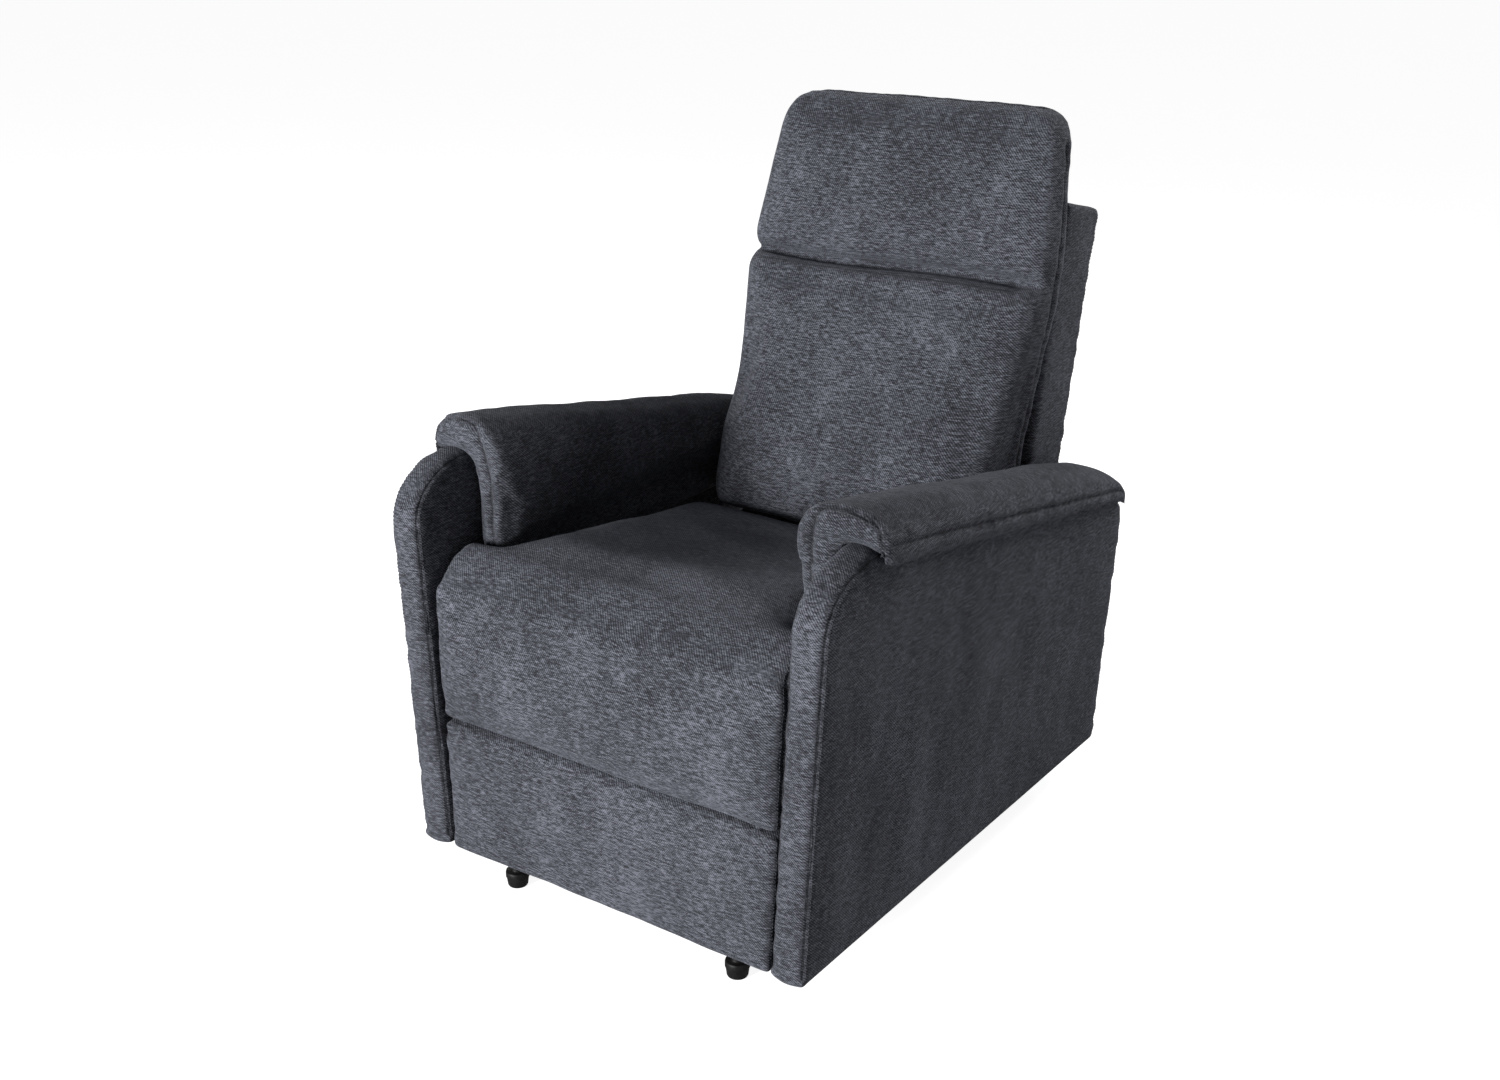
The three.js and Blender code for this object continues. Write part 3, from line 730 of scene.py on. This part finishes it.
def arm_slab(name, side):
    """The upholstered arm: two flat panels and the boxing band between them, sewn along both edges."""
    outline = arm_outline()
    count = len(outline)
    (front_y, front_z), (rear_y, rear_z) = ARM_SPINE

    def inset(i, share):
        y, z = outline[i]
        t = min(1.0, max(0.0, (y - front_y) / (rear_y - front_y)))
        cy = front_y + (rear_y - front_y) * t
        cz = front_z + (rear_z - front_z) * t
        return y + (cy - y) * share, z + (cz - z) * share, math.hypot(cy - y, cz - z) * share

    rings = []
    for panel in (0, 1):
        sheet = []
        for share in PANEL_RINGS:
            ring = []
            for i in range(count):
                y, z, d = inset(i, share)
                puff = 0.0055 * (1 - math.exp(-d / 0.016)) * math.exp(-max(0.0, d - 0.03) / 0.5)
                long_fold = noise.noise(Vector((y * 7, z * 1.6, 5 * side + panel)))
                short_fold = noise.noise(Vector((y * 22, z * 6.5, 9 * side + panel)))
                fold = 0.0048 * long_fold * min(1, d / 0.06) + 0.0022 * short_fold * min(1, d / 0.05)
                c = -puff - fold + 0.003 if panel == 0 else ARM_T + puff * 0.6 - 0.003
                ring.append(on_arm(side, c, y, z))
            sheet.append(ring)
        band = []
        if panel == 0:
            for t in BAND_RINGS:
                ring = []
                for i in range(count):
                    a, b = outline[i - 1], outline[(i + 1) % count]
                    way = math.hypot(b[0] - a[0], b[1] - a[1])
                    ny, nz = (b[1] - a[1]) / way, -(b[0] - a[0]) / way
                    y, z = outline[i]
                    crown = 0.0075 * (math.sin(math.pi * t) ** 0.7) - 0.0035
                    crown += 0.0015 * noise.noise(Vector((y * 14, z * 14, t * 2 + 3 * side)))
                    ring.append(on_arm(side, 0.002 + (ARM_T - 0.004) * t, y + ny * crown, z + nz * crown))
                band.append(ring)
        rings.append((sheet, band))
    body = rings[0][0] + rings[0][1] + list(reversed(rings[1][0]))
    obj = make(f"arm_upholstery_{name}", *loft(body))
    subdivided(obj, 2)
    seams = []
    for c in (0.0, ARM_T):
        seams.append([on_arm(side, c, y, z) for y, z in outline[::2] if z > ARM_FOOT + 0.01])
    sew(obj, seams, depth=0.0022, width=0.0035, offset=0.005)
    finish_piece(obj, "base", [f"arm_cover_{name}"])
    return obj


PAD_REAR = 0.893  # y of the pads' rear ends
PAD_STATIONS = (0.118, 0.126, 0.145, 0.19, 0.25, 0.33, 0.42, 0.52, 0.62, 0.72)
PAD_STATIONS += (0.80, 0.84, 0.862, 0.874, 0.884)
PAD_CROWN = (  # inwards of the arm's outer face, height above the arm, how far forward the front end runs
    (-0.003, -0.024, 0.004),
    (-0.010, -0.024, 0.005),
    (-0.0145, -0.008, 0.007),
    (-0.013, 0.016, 0.008),
    (-0.004, 0.038, 0.010),
    (0.018, 0.053, 0.013),
    (0.048, 0.059, 0.016),
    (0.082, 0.056, 0.018),
    (0.108, 0.043, 0.018),
    (0.120, 0.018, 0.017),
    (0.122, -0.014, 0.015),
    (0.117, -0.06, 0.010),
)


def arm_pad(name, side):
    """The pad that sits over the arm like a saddle and hangs down beside the seat."""
    inner = ARM_T + 0.001
    beside = inner + 0.006
    low = PAD_BOX[name][0].z - RISE + 0.004
    height, rear_bump = (0.84, 0.05) if side > 0 else (0.88, 0.14)
    rings = []
    for y in PAD_STATIONS:
        ahead = max(0.0, 1 - (y - PAD_STATIONS[0]) / 0.12)
        behind = math.sqrt(1 - max(0.0, 1 - (PAD_REAR - y) / 0.055) ** 2)
        swell = height + 0.06 * ahead + 0.10 * math.exp(-(((y - 0.30) / 0.16) ** 2))
        swell += rear_bump * math.exp(-(((y - 0.70) / 0.09) ** 2))
        swell -= 0.16 * ease(y, 0.66, 0.85)
        ring = []
        for across, rise, forward in PAD_CROWN:
            station = y - forward * ahead
            lift = rise * behind * swell if rise > 0 else rise * (1 - 0.5 * y / PAD_REAR)
            ring.append(on_arm(side, across, station, arm_top(station) + lift))
        ring.append(on_arm(side, 0.101, y, low + 0.02))
        ring.append(on_arm(side, 0.094, y, low))
        ring.append(on_arm(side, beside, y, low))
        ring.append(on_arm(side, beside, y, low + 0.02))
        ring.append(on_arm(side, beside, y - 0.004 * ahead, arm_top(y) - 0.01))
        ring.append(on_arm(side, inner - 0.01, y - 0.010 * ahead, arm_top(y - 0.010 * ahead) + 0.004))
        ring.append(on_arm(side, 0.002, y - 0.008 * ahead, arm_top(y - 0.008 * ahead) + 0.003))
        rings.append(ring)
    obj = union(f"soft_arm_pad_{name}", [rings])
    skin(obj)
    relax(obj, 5)
    points = coords(obj)
    c, h = arm_space(points, side)
    y = points[:, 1] - FRONT
    tops = np.array([arm_top(v) for v in y])
    under = (h < tops + 0.008) & (c < inner + 0.006) & (c > -0.004)
    against = (np.abs(c - inner) < 0.012) & (h < tops)
    base = h < low + 0.02
    held = (under | against | base).astype(float)
    inflate(obj, 0.008, held)
    crumple(obj, 0.0030, (0.10, 0.085, 0.10), 3 + side)
    crumple(obj, 0.0010, (0.035, 0.03, 0.035), 7 + side)
    keep_pad(obj, side, inner, low)
    subdivided(obj, 1)
    keep_pad(obj, side, inner, low)
    corner = on_arm(side, -0.006, 0.112, arm_top(0.112) + 0.024)
    pucker(obj, corner, (0.0, 1.0, 0.0), (side * 1.0, 0.0, 0.3), 0.045, 9, 0.0016)
    pucker(obj, on_arm(side, 0.10, 0.11, 0.60), (0.0, 1.0, 0.0), (0.0, 0.0, 1.0), 0.05, 6, 0.0012, 1.0)
    seams = pad_seams(side, low)
    sew(obj, seams, depth=0.003, width=0.0045, offset=0.0055)
    finish_piece(obj, "base", [f"arm_pad_{name}"])
    return obj


def arm_space(points, side):
    """How far inwards of the arm's outer face, and how high along it, each point is."""
    dx = side * points[:, 0] - ARM_X
    z = points[:, 2] - RISE
    return z * math.sin(FLARE) - dx * math.cos(FLARE), z * math.cos(FLARE) + dx * math.sin(FLARE)


def keep_pad(obj, side, inner, low):
    """Keeps a pad off the arm it sits on, and above its own lower edge."""
    points = coords(obj)
    c, h = arm_space(points, side)
    y = points[:, 1] - FRONT
    tops = np.array([arm_top(v) for v in y]) + 0.0015
    over = (c < inner - 0.02) & (c > -0.002) & (h < tops)
    h = np.where(over, tops, h)
    c = np.where((c <= -0.002) & (h < tops), np.minimum(c, -0.005), c)
    beside = (h < tops - 0.004) & (c < inner) & (c > inner - 0.03)
    c = np.where(beside, inner, c)
    h = np.maximum(h, low - 0.003)
    bulge = inner + 0.046 + 0.024 * ease(h, 0.470, 0.53)
    c = np.minimum(c, bulge)
    fresh = np.stack(
        [
            side * (ARM_X - c * math.cos(FLARE) + h * math.sin(FLARE)),
            points[:, 1],
            RISE + c * math.sin(FLARE) + h * math.cos(FLARE),
        ],
        axis=1,
    )
    set_coords(obj, fresh)


def pad_seams(side, low):
    """The pad's front panel and the band along its outer side."""
    face = [
        on_arm(side, -0.004, 0.122, arm_top(0.118) - 0.020),
        on_arm(side, -0.008, 0.108, arm_top(0.118) + 0.012),
        on_arm(side, 0.002, 0.108, arm_top(0.112) + 0.050),
        on_arm(side, 0.036, 0.106, arm_top(0.108) + 0.064),
        on_arm(side, 0.072, 0.106, arm_top(0.108) + 0.058),
        on_arm(side, 0.094, 0.106, arm_top(0.112) + 0.030),
        on_arm(side, 0.098, 0.104, 0.58),
        on_arm(side, 0.094, 0.106, 0.50),
        on_arm(side, 0.090, 0.108, low + 0.02),
    ]
    ys = np.linspace(0.13, 0.868, 24)
    band = [on_arm(side, -0.018, y, arm_top(y) + 0.014) for y in ys]
    return [face, band]


# ------------------------------------------------------------------ seat, leg rest and back
def side_gap(z):
    """Half the room between the arms at a height."""
    h = (z - ARM_T * math.sin(FLARE)) / math.cos(FLARE)
    return ARM_X - ARM_T * math.cos(FLARE) + h * math.sin(FLARE)


def seat():
    """Seat cushion and the upper part of the leg rest under one continuous cover."""
    rear = SEAT_HIGH.y - FRONT
    top_front, top_rear = SEAT_HIGH.z - RISE, 0.442
    slope = (top_front - top_rear) / (rear - SEAT_BEND)

    def top(y):
        return top_front - 0.010 - slope * max(0.0, y - SEAT_BEND)

    body = []
    for y in (0.07, 0.15, 0.25, 0.35, 0.45, rear - 0.02, rear - 0.006):
        half, z = 0.255, top(y)
        body.append([at(-half, y, z - 0.090), at(half, y, z - 0.090), at(half, y, z), at(-half, y, z)])
    ears = []
    drops = ((0.006, 0.062), (0.014, 0.046), (0.028, 0.029), (0.05, 0.013), (0.075, 0.004), (0.1, 0.0))
    for y, drop in drops:
        z = top_front - 0.010 - drop
        half = side_gap(z) - 0.005
        ears.append([at(-half, y, 0.416), at(half, y, 0.416), at(half, y, z), at(-half, y, z)])
    fold = PAD_HIGH.z - RISE + 0.0015
    front = []
    for z in (fold, fold + 0.006, 0.30, 0.36, 0.42, 0.46):
        half = side_gap(z) - 0.003
        y0 = 0.014 if z <= fold else 0.003
        front.append([at(-half, y0, z), at(half, y0, z), at(half, 0.043, z), at(-half, 0.043, z)])
    obj = union("soft_seat", [body, ears, front])
    skin(obj)
    relax(obj, 6)
    points, out = coords(obj), normals(obj)
    y, z = points[:, 1] - FRONT, points[:, 2] - RISE
    under = (out[:, 2] < -0.5) & (z > 0.3)
    behind = (out[:, 1] > 0.6) & (z < 0.41)
    back_end = y > rear - 0.012
    foot = z < fold + 0.012
    held = (under | behind | back_end | foot).astype(float)
    inflate(obj, 0.016, held)
    crumple(obj, 0.0035, (0.16, 0.13, 0.11), 11)
    crumple(obj, 0.0012, (0.06, 0.045, 0.04), 12)
    keep_seat(obj)
    relax(obj, 8, keep=held)
    subdivided(obj, 1)
    keep_seat(obj)
    seams = []
    for side in (1, -1):
        line = [at(side * (side_gap(z) + 0.002), 0.016, z) for z in (fold, 0.33, 0.40, 0.45)]
        ear = ((0.312, 0.022, 0.485), (0.310, 0.05, 0.502), (0.308, 0.085, 0.506))
        line += [at(side * x, y, z) for x, y, z in ear]
        seams.append(line)
    sew(obj, seams, depth=0.0015, width=0.004, offset=0.005)
    lay_cloth(obj, FABRIC)
    threads = bpy.data.objects["soft_seat_stitching"]
    for piece in (obj, threads):
        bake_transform(piece)
    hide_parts("seat_cushion", "leg_rest_pad_upper")
    return obj


def keep_seat(obj):
    """Presses the seat flat where it meets the arms, the arm pads and its own springs."""
    points = coords(obj)
    y, z = points[:, 1] - FRONT, points[:, 2] - RISE
    room = side_gap(z) - 0.002
    beside_pads = ease(y, 0.090, 0.111)
    room = room * (1 - beside_pads) + 0.2610 * beside_pads
    points[:, 0] = np.sign(points[:, 0]) * np.minimum(np.abs(points[:, 0]), room)
    springs = SEAT_UNDER - SEAT_FALL * np.maximum(0, y - SEAT_BEND)
    z = np.where(y > 0.064, np.maximum(z, springs), z)
    z = np.maximum(z, PAD_HIGH.z - RISE + 0.0008)
    points[:, 2] = z + RISE
    points[:, 1] = np.where((z < 0.402) & (y > LEG_BACK), FRONT + LEG_BACK, points[:, 1])
    set_coords(obj, points)


def leg_rest():
    """The lower pad of the leg rest."""
    rings = []
    low, high = PAD_LOW.z - RISE, PAD_HIGH.z - RISE
    for z, y0 in (
        (low - 0.009, 0.006),
        (low - 0.006, 0.002),
        (low + 0.05, 0.003),
        (low + 0.12, 0.003),
        (high - 0.03, 0.004),
        (high - 0.008, 0.005),
        (high + 0.001, 0.014),
    ):
        half = side_gap(z) - 0.003
        rings.append([at(-half, y0, z), at(half, y0, z), at(half, 0.044, z), at(-half, 0.044, z)])
    obj = union("soft_leg_rest", [rings])
    skin(obj)
    relax(obj, 6, keep=(coords(obj)[:, 2] < RISE + low + 0.015).astype(float))
    points, out = coords(obj), normals(obj)
    ends = (points[:, 2] > RISE + high - 0.012) | (points[:, 2] < RISE + low + 0.006)
    held = ((out[:, 1] > 0.6) | (np.abs(out[:, 0]) > 0.8) | ends).astype(float)
    inflate(obj, 0.016, held)
    crumple(obj, 0.0035, (0.15, 0.1, 0.09), 21)
    crumple(obj, 0.0012, (0.055, 0.04, 0.045), 22)

    def keep():
        points = coords(obj)
        room = side_gap(points[:, 2] - RISE) - 0.002
        points[:, 0] = np.sign(points[:, 0]) * np.minimum(np.abs(points[:, 0]), room)
        points[:, 1] = np.minimum(points[:, 1], FRONT + LEG_BACK)
        floor = np.where(points[:, 1] > FRONT + 0.030, low - 0.005, low - 0.0095)
        points[:, 2] = np.clip(points[:, 2], RISE + floor, PAD_HIGH.z)
        set_coords(obj, points)

    keep()
    subdivided(obj, 1)
    for side in (1, -1):
        corner = at(side * 0.262, 0.0, high - 0.004)
        pucker(obj, corner, (1.0, 0.0, 0.0), (0.0, 0.0, 1.0), 0.055, 7, 0.0022, side * 1.3)
    keep()
    seams = [
        [at(side * (side_gap(z) + 0.002), 0.016, z) for z in (low, 0.11, 0.17, high)] for side in (1, -1)
    ]
    sew(obj, seams, depth=0.0015, width=0.004, offset=0.005)
    finish_piece(obj, "leg_rest", ["leg_rest_pad_lower"])
    return obj


def back():
    """The back cushion: a head part and a lumbar part, divided by a sewn channel."""
    rows = (  # w, front v, half width
        (0.052, -0.104, 0.240),
        (0.062, -0.118, 0.245),
        (0.100, -0.124, 0.247),
        (0.190, -0.118, 0.249),
        (0.240, -0.100, 0.250),
        (0.290, -0.082, 0.254),
        (0.350, -0.072, 0.261),
        (0.420, -0.068, 0.268),
        (0.452, -0.062, 0.271),
        (0.472, -0.042, 0.272),
        (0.482, -0.014, 0.272),
        (0.491, -0.036, 0.271),
        (0.506, -0.050, 0.270),
        (0.560, -0.048, 0.267),
        (0.640, -0.042, 0.260),
        (0.700, -0.036, 0.253),
        (0.720, -0.030, 0.248),
        (0.738, -0.020, 0.238),
        (0.748, -0.006, 0.224),
        (0.753, 0.008, 0.208),
    )
    rings = []
    for w, v, half in rows:
        corner = min(0.045, (BACK_REAR - v) / 3.2)
        edge = [
            (half - corner + corner * math.sin(a), v + corner - corner * math.cos(a))
            for a in np.linspace(0, math.pi / 2, 5)
        ]
        edge += [(half, BACK_REAR - 0.01), (half - 0.012, BACK_REAR)]
        ring = edge + [(-x, vv) for x, vv in reversed(edge)]
        rings.append([on_back(x, vv, w) for x, vv in ring])
    obj = union("soft_back", [rings])
    skin(obj)
    relax(obj, 3)
    points = coords(obj)
    v, w = back_space(points)
    x = points[:, 0]
    channel = (np.abs(w - CHANNEL) < 0.008) & (v < -0.002) & (x < 0.232)
    behind = v > BACK_REAR - 0.010
    held = (channel | behind).astype(float)
    inflate(obj, 0.016, held)
    v, w = back_space(coords(obj))
    calm = np.exp(-(((w - CHANNEL) / 0.02) ** 2))
    crumple(obj, 0.0040, (0.15, 0.2, 0.12), 31, calm)
    crumple(obj, 0.0012, (0.05, 0.06, 0.045), 32, calm)
    keep_back(obj)
    subdivided(obj, 1)
    crease(obj)
    keep_back(obj)
    seam_v = 0.004
    smooth = [r for r in rows[1:16] if abs(r[0] - CHANNEL) > 0.011]
    seams = [[on_back(side * (half + 0.02), seam_v, w) for w, _, half in smooth] for side in (1, -1)]
    seams.append([on_back(x, seam_v, 0.78) for x in np.linspace(-0.21, 0.21, 9)])
    channel = [on_back(x, -0.06, channel_at(x)) for x in np.linspace(-0.27, 0.225, 24)]
    sew(obj, seams, depth=0.003, width=0.005, offset=0.0055)
    # painted shade along the channel between the head and lumbar parts
    paint_channel_shade(obj, channel)
    finish_piece(obj, "backrest", ["lumbar_cushion", "head_cushion"])
    return obj


def channel_at(x):
    """Height of the channel, which waves a little from side to side."""
    return CHANNEL + 0.003 * np.sin(x * 14)


def crease(obj):
    """The channel between head and lumbar part, which fades out before the seam on one side."""
    points, out = coords(obj), normals(obj)
    v, w = back_space(points)
    x = points[:, 0]
    on_front = ease(-v, 0.0, 0.02) * (1 - ease(x, 0.205, 0.255)) * (1 - 0.6 * ease(-x, 0.225, 0.265))
    above = w - channel_at(x)
    cut = 0.013 * np.exp(-np.abs(above / 0.0055) ** 1.5)
    roll = 0.006 * np.exp(-(((above + 0.022) / 0.018) ** 2))
    roll += 0.003 * np.exp(-(((above - 0.024) / 0.02) ** 2))
    set_coords(obj, points + out * ((roll - cut) * on_front)[:, None])


def back_space(points):
    """How far rearwards of the backrest's pivot, and how far up it, each point is."""
    dy, dz = points[:, 1] - PIVOT.y, points[:, 2] - PIVOT.z
    return dy * math.cos(LEAN) - dz * math.sin(LEAN), dy * math.sin(LEAN) + dz * math.cos(LEAN)


def from_back_space(x, v, w):
    """Points from their places in the leaning backrest."""
    y = PIVOT.y + v * math.cos(LEAN) + w * math.sin(LEAN)
    z = PIVOT.z - v * math.sin(LEAN) + w * math.cos(LEAN)
    return np.stack([x, y, z], axis=1)


def keep_back(obj):
    """Presses the cushion flat against the back frame, and keeps it off the arm pads."""
    points = coords(obj)
    v, w = back_space(points)
    v = np.minimum(v, 0.0405)
    w = np.maximum(w, 0.050)
    limit = np.interp(w, (0.06, 0.30, 0.36, 0.42), (0.262, 0.264, 0.272, 0.29))
    points[:, 0] = np.sign(points[:, 0]) * np.minimum(np.abs(points[:, 0]), limit)
    set_coords(obj, from_back_space(points[:, 0], v, w))


def back_frame():
    """The upholstered frame behind the cushion: two side panels, a top and a rear panel."""
    half, v0, v1, w0, w1 = 0.2545, 0.0435, 0.1635, -0.205, 0.6150
    wide, deep = 34, 9  # steps across the panels and round the sides
    rings = []
    for w in np.linspace(w0, w1, 42):
        ring = []
        for i in range(wide + 1):
            ring.append((-half + 2 * half * i / wide, v1 + 0.004 * math.sin(math.pi * (i / wide)) ** 0.5))
        for i in range(1, deep):
            ring.append((half + 0.002 * math.sin(math.pi * i / deep), v1 + (v0 - v1) * i / deep))
        for i in range(wide + 1):
            ring.append((half - 2 * half * i / wide, v0))
        for i in range(1, deep):
            ring.append((-half - 0.002 * math.sin(math.pi * i / deep), v0 + (v1 - v0) * i / deep))
        rings.append([on_back(x, v, w) for x, v in ring])
    obj = union("back_upholstery", [rings])
    skin(obj)
    relax(obj, 3)
    crumple(obj, 0.0014, (0.11, 0.11, 0.25), 41)
    points = coords(obj)
    v, w = back_space(points)
    set_coords(obj, from_back_space(points[:, 0], np.maximum(v, 0.0428), w))
    subdivided(obj, 1)
    seams = []
    for side in (1, -1):
        seams.append([on_back(side * (half - 0.001), v1, w) for w in np.linspace(w0 + 0.01, w1 - 0.004, 12)])
    seams.append([on_back(x, v1, w1 - 0.002) for x in np.linspace(-half, half, 12)])
    sew(obj, seams, depth=0.002, width=0.004, offset=0.0055)
    finish_piece(obj, "backrest", ["back_outer_cover"])
    return obj


# ------------------------------------------------------------------ feet and hardware
CUP_TALL = 0.026  # height of the wide glide at the foot's lower end
CUP = ((0.70, 0), (0.80, 0.04), (0.86, 0.12), (0.93, 0.5), (1, 0.62), (1, 0.9), (0.96, 0.98), (0.9, 1))
FOOT_SIDES = 48


def feet():
    """Turned feet: a wide glide below and a narrower stem above it."""
    for end in ("front", "rear"):
        for name, _ in SIDES:
            node = f"foot_{end}_{name}"
            low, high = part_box(node)
            centre = (low + high) / 2
            radius, tall = (high.x - low.x) / 2, high.z - low.z
            cup = CUP_TALL / tall
            profile = [(r, h * cup) for r, h in CUP]
            profile += [(0.52, cup), (0.50, cup + 0.02), (0.50, 0.97), (0.50, 1)]
            rings = []
            for r, h in profile:
                ring = []
                for i in range(FOOT_SIDES):
                    a = 2 * math.pi * i / FOOT_SIDES
                    x, y = centre.x + radius * r * math.cos(a), centre.y + radius * r * math.sin(a)
                    ring.append(Vector((x, y, low.z + tall * h)))
                rings.append(ring)
            obj = union(f"glide_{end}_{name}", [rings])
            for poly in obj.data.polygons:
                poly.use_smooth = len(poly.vertices) == 4
            obj.data.materials.append(PLASTIC)
            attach(obj, "base")
            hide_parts(node)


def hardware():
    """Materials, and a small rounding of the edges, for the parts that keep their own shape."""
    finishes = {"mechanism": STEEL, "timber": WOOD, "spring_wire": WIRE, "webbing": WEBBING}
    finishes["foot_plastic"] = PLASTIC
    for row in frame["record"]["subparts"]:
        obj = frame["nodes"][row["node"]]
        material = finishes.get(row["material_slot"])
        if material is None or obj.hide_render:
            continue
        obj.data.materials.clear()
        obj.data.materials.append(material)
        if row["material_slot"] in ("mechanism", "timber"):
            mod = obj.modifiers.new("edges", "BEVEL")
            mod.width = 0.0006 if row["material_slot"] == "mechanism" else 0.0015
            mod.segments = 2
            mod.limit_method = "ANGLE"
            mod.angle_limit = math.radians(40)
        if row["material_slot"] == "spring_wire":
            for poly in obj.data.polygons:
                poly.use_smooth = True


# ------------------------------------------------------------------ studio
LIGHTS = (  # name, place, aim, watts, size
    ("key", (-1.3, -6.4, 1.4), (0, 0, 0.6), 960, 2.0),
    ("rim", (1.0, 3.0, 2.7), (0.2, 0, 0.6), 110, 1.4),
    ("top", (0.4, 0.4, 3.4), (0, 0, 0.5), 6, 1.6),
    ("fill", (4.6, -0.8, 0.6), (0, 0, 0.5), 20, 1.2),
    ("left", (-4.2, 2.0, 1.6), (0, 0, 0.5), 60, 1.6),
)
FLOOR_HALF = 60
CAMERA_PLACE = (1.4334, -1.6777, 1.4309)
AZIMUTH, PITCH = math.radians(35.4), math.radians(20.8)


def studio():
    """A floor and background that look white but throw little light, soft lights and the camera."""
    half = FLOOR_HALF
    corners = [(-half, -half, 0), (half, -half, 0), (half, half, 0), (-half, half, 0)]
    floor = make("floor", corners, [(0, 1, 2, 3)])
    material, n, shader = new_material("studio_floor")
    shader["Base Color"].default_value = (0.42, 0.42, 0.425, 1)
    shader["Roughness"].default_value = 0.9
    shader["Emission Color"].default_value = (1, 1, 1, 1)
    seen = n.add("ShaderNodeLightPath").outputs["Is Camera Ray"]
    n.link(n.remap(seen, 0.08, 0.90), shader["Emission Strength"])
    floor.data.materials.append(material)

    world = bpy.data.worlds.new("studio")
    world.use_nodes = True
    background = world.node_tree.nodes["Background"].inputs
    background[0].default_value = (1.0, 1.0, 1.0, 1)
    w = Nodes(world.node_tree)
    seen = w.add("ShaderNodeLightPath").outputs["Is Camera Ray"]
    w.link(w.remap(seen, 0.13, 1.0), background[1])
    scene.world = world

    for name, place, aim, power, size in LIGHTS:
        data = bpy.data.lights.new(name, "AREA")
        data.energy = power
        data.size = size
        lamp = bpy.data.objects.new(name, data)
        lamp.location = place
        lamp.rotation_euler = (Vector(aim) - Vector(place)).to_track_quat("-Z", "Y").to_euler()
        scene.collection.objects.link(lamp)

    data = bpy.data.cameras.new("camera")
    data.lens = 42.87
    data.sensor_width = 36
    data.shift_x = 0.0086
    camera = bpy.data.objects.new("camera", data)
    camera.location = at(*CAMERA_PLACE)
    level = math.cos(PITCH)
    way = Vector((-math.sin(AZIMUTH) * level, math.cos(AZIMUTH) * level, -math.sin(PITCH)))
    camera.rotation_mode = "QUATERNION"
    camera.rotation_quaternion = way.to_track_quat("-Z", "Y")
    scene.collection.objects.link(camera)
    scene.camera = camera
    scene.view_settings.view_transform = "Standard"


studio()
for side_name, sign in SIDES:
    arm_slab(side_name, sign)
    arm_pad(side_name, sign)
seat()
leg_rest()
back()
back_frame()
feet()
hardware()
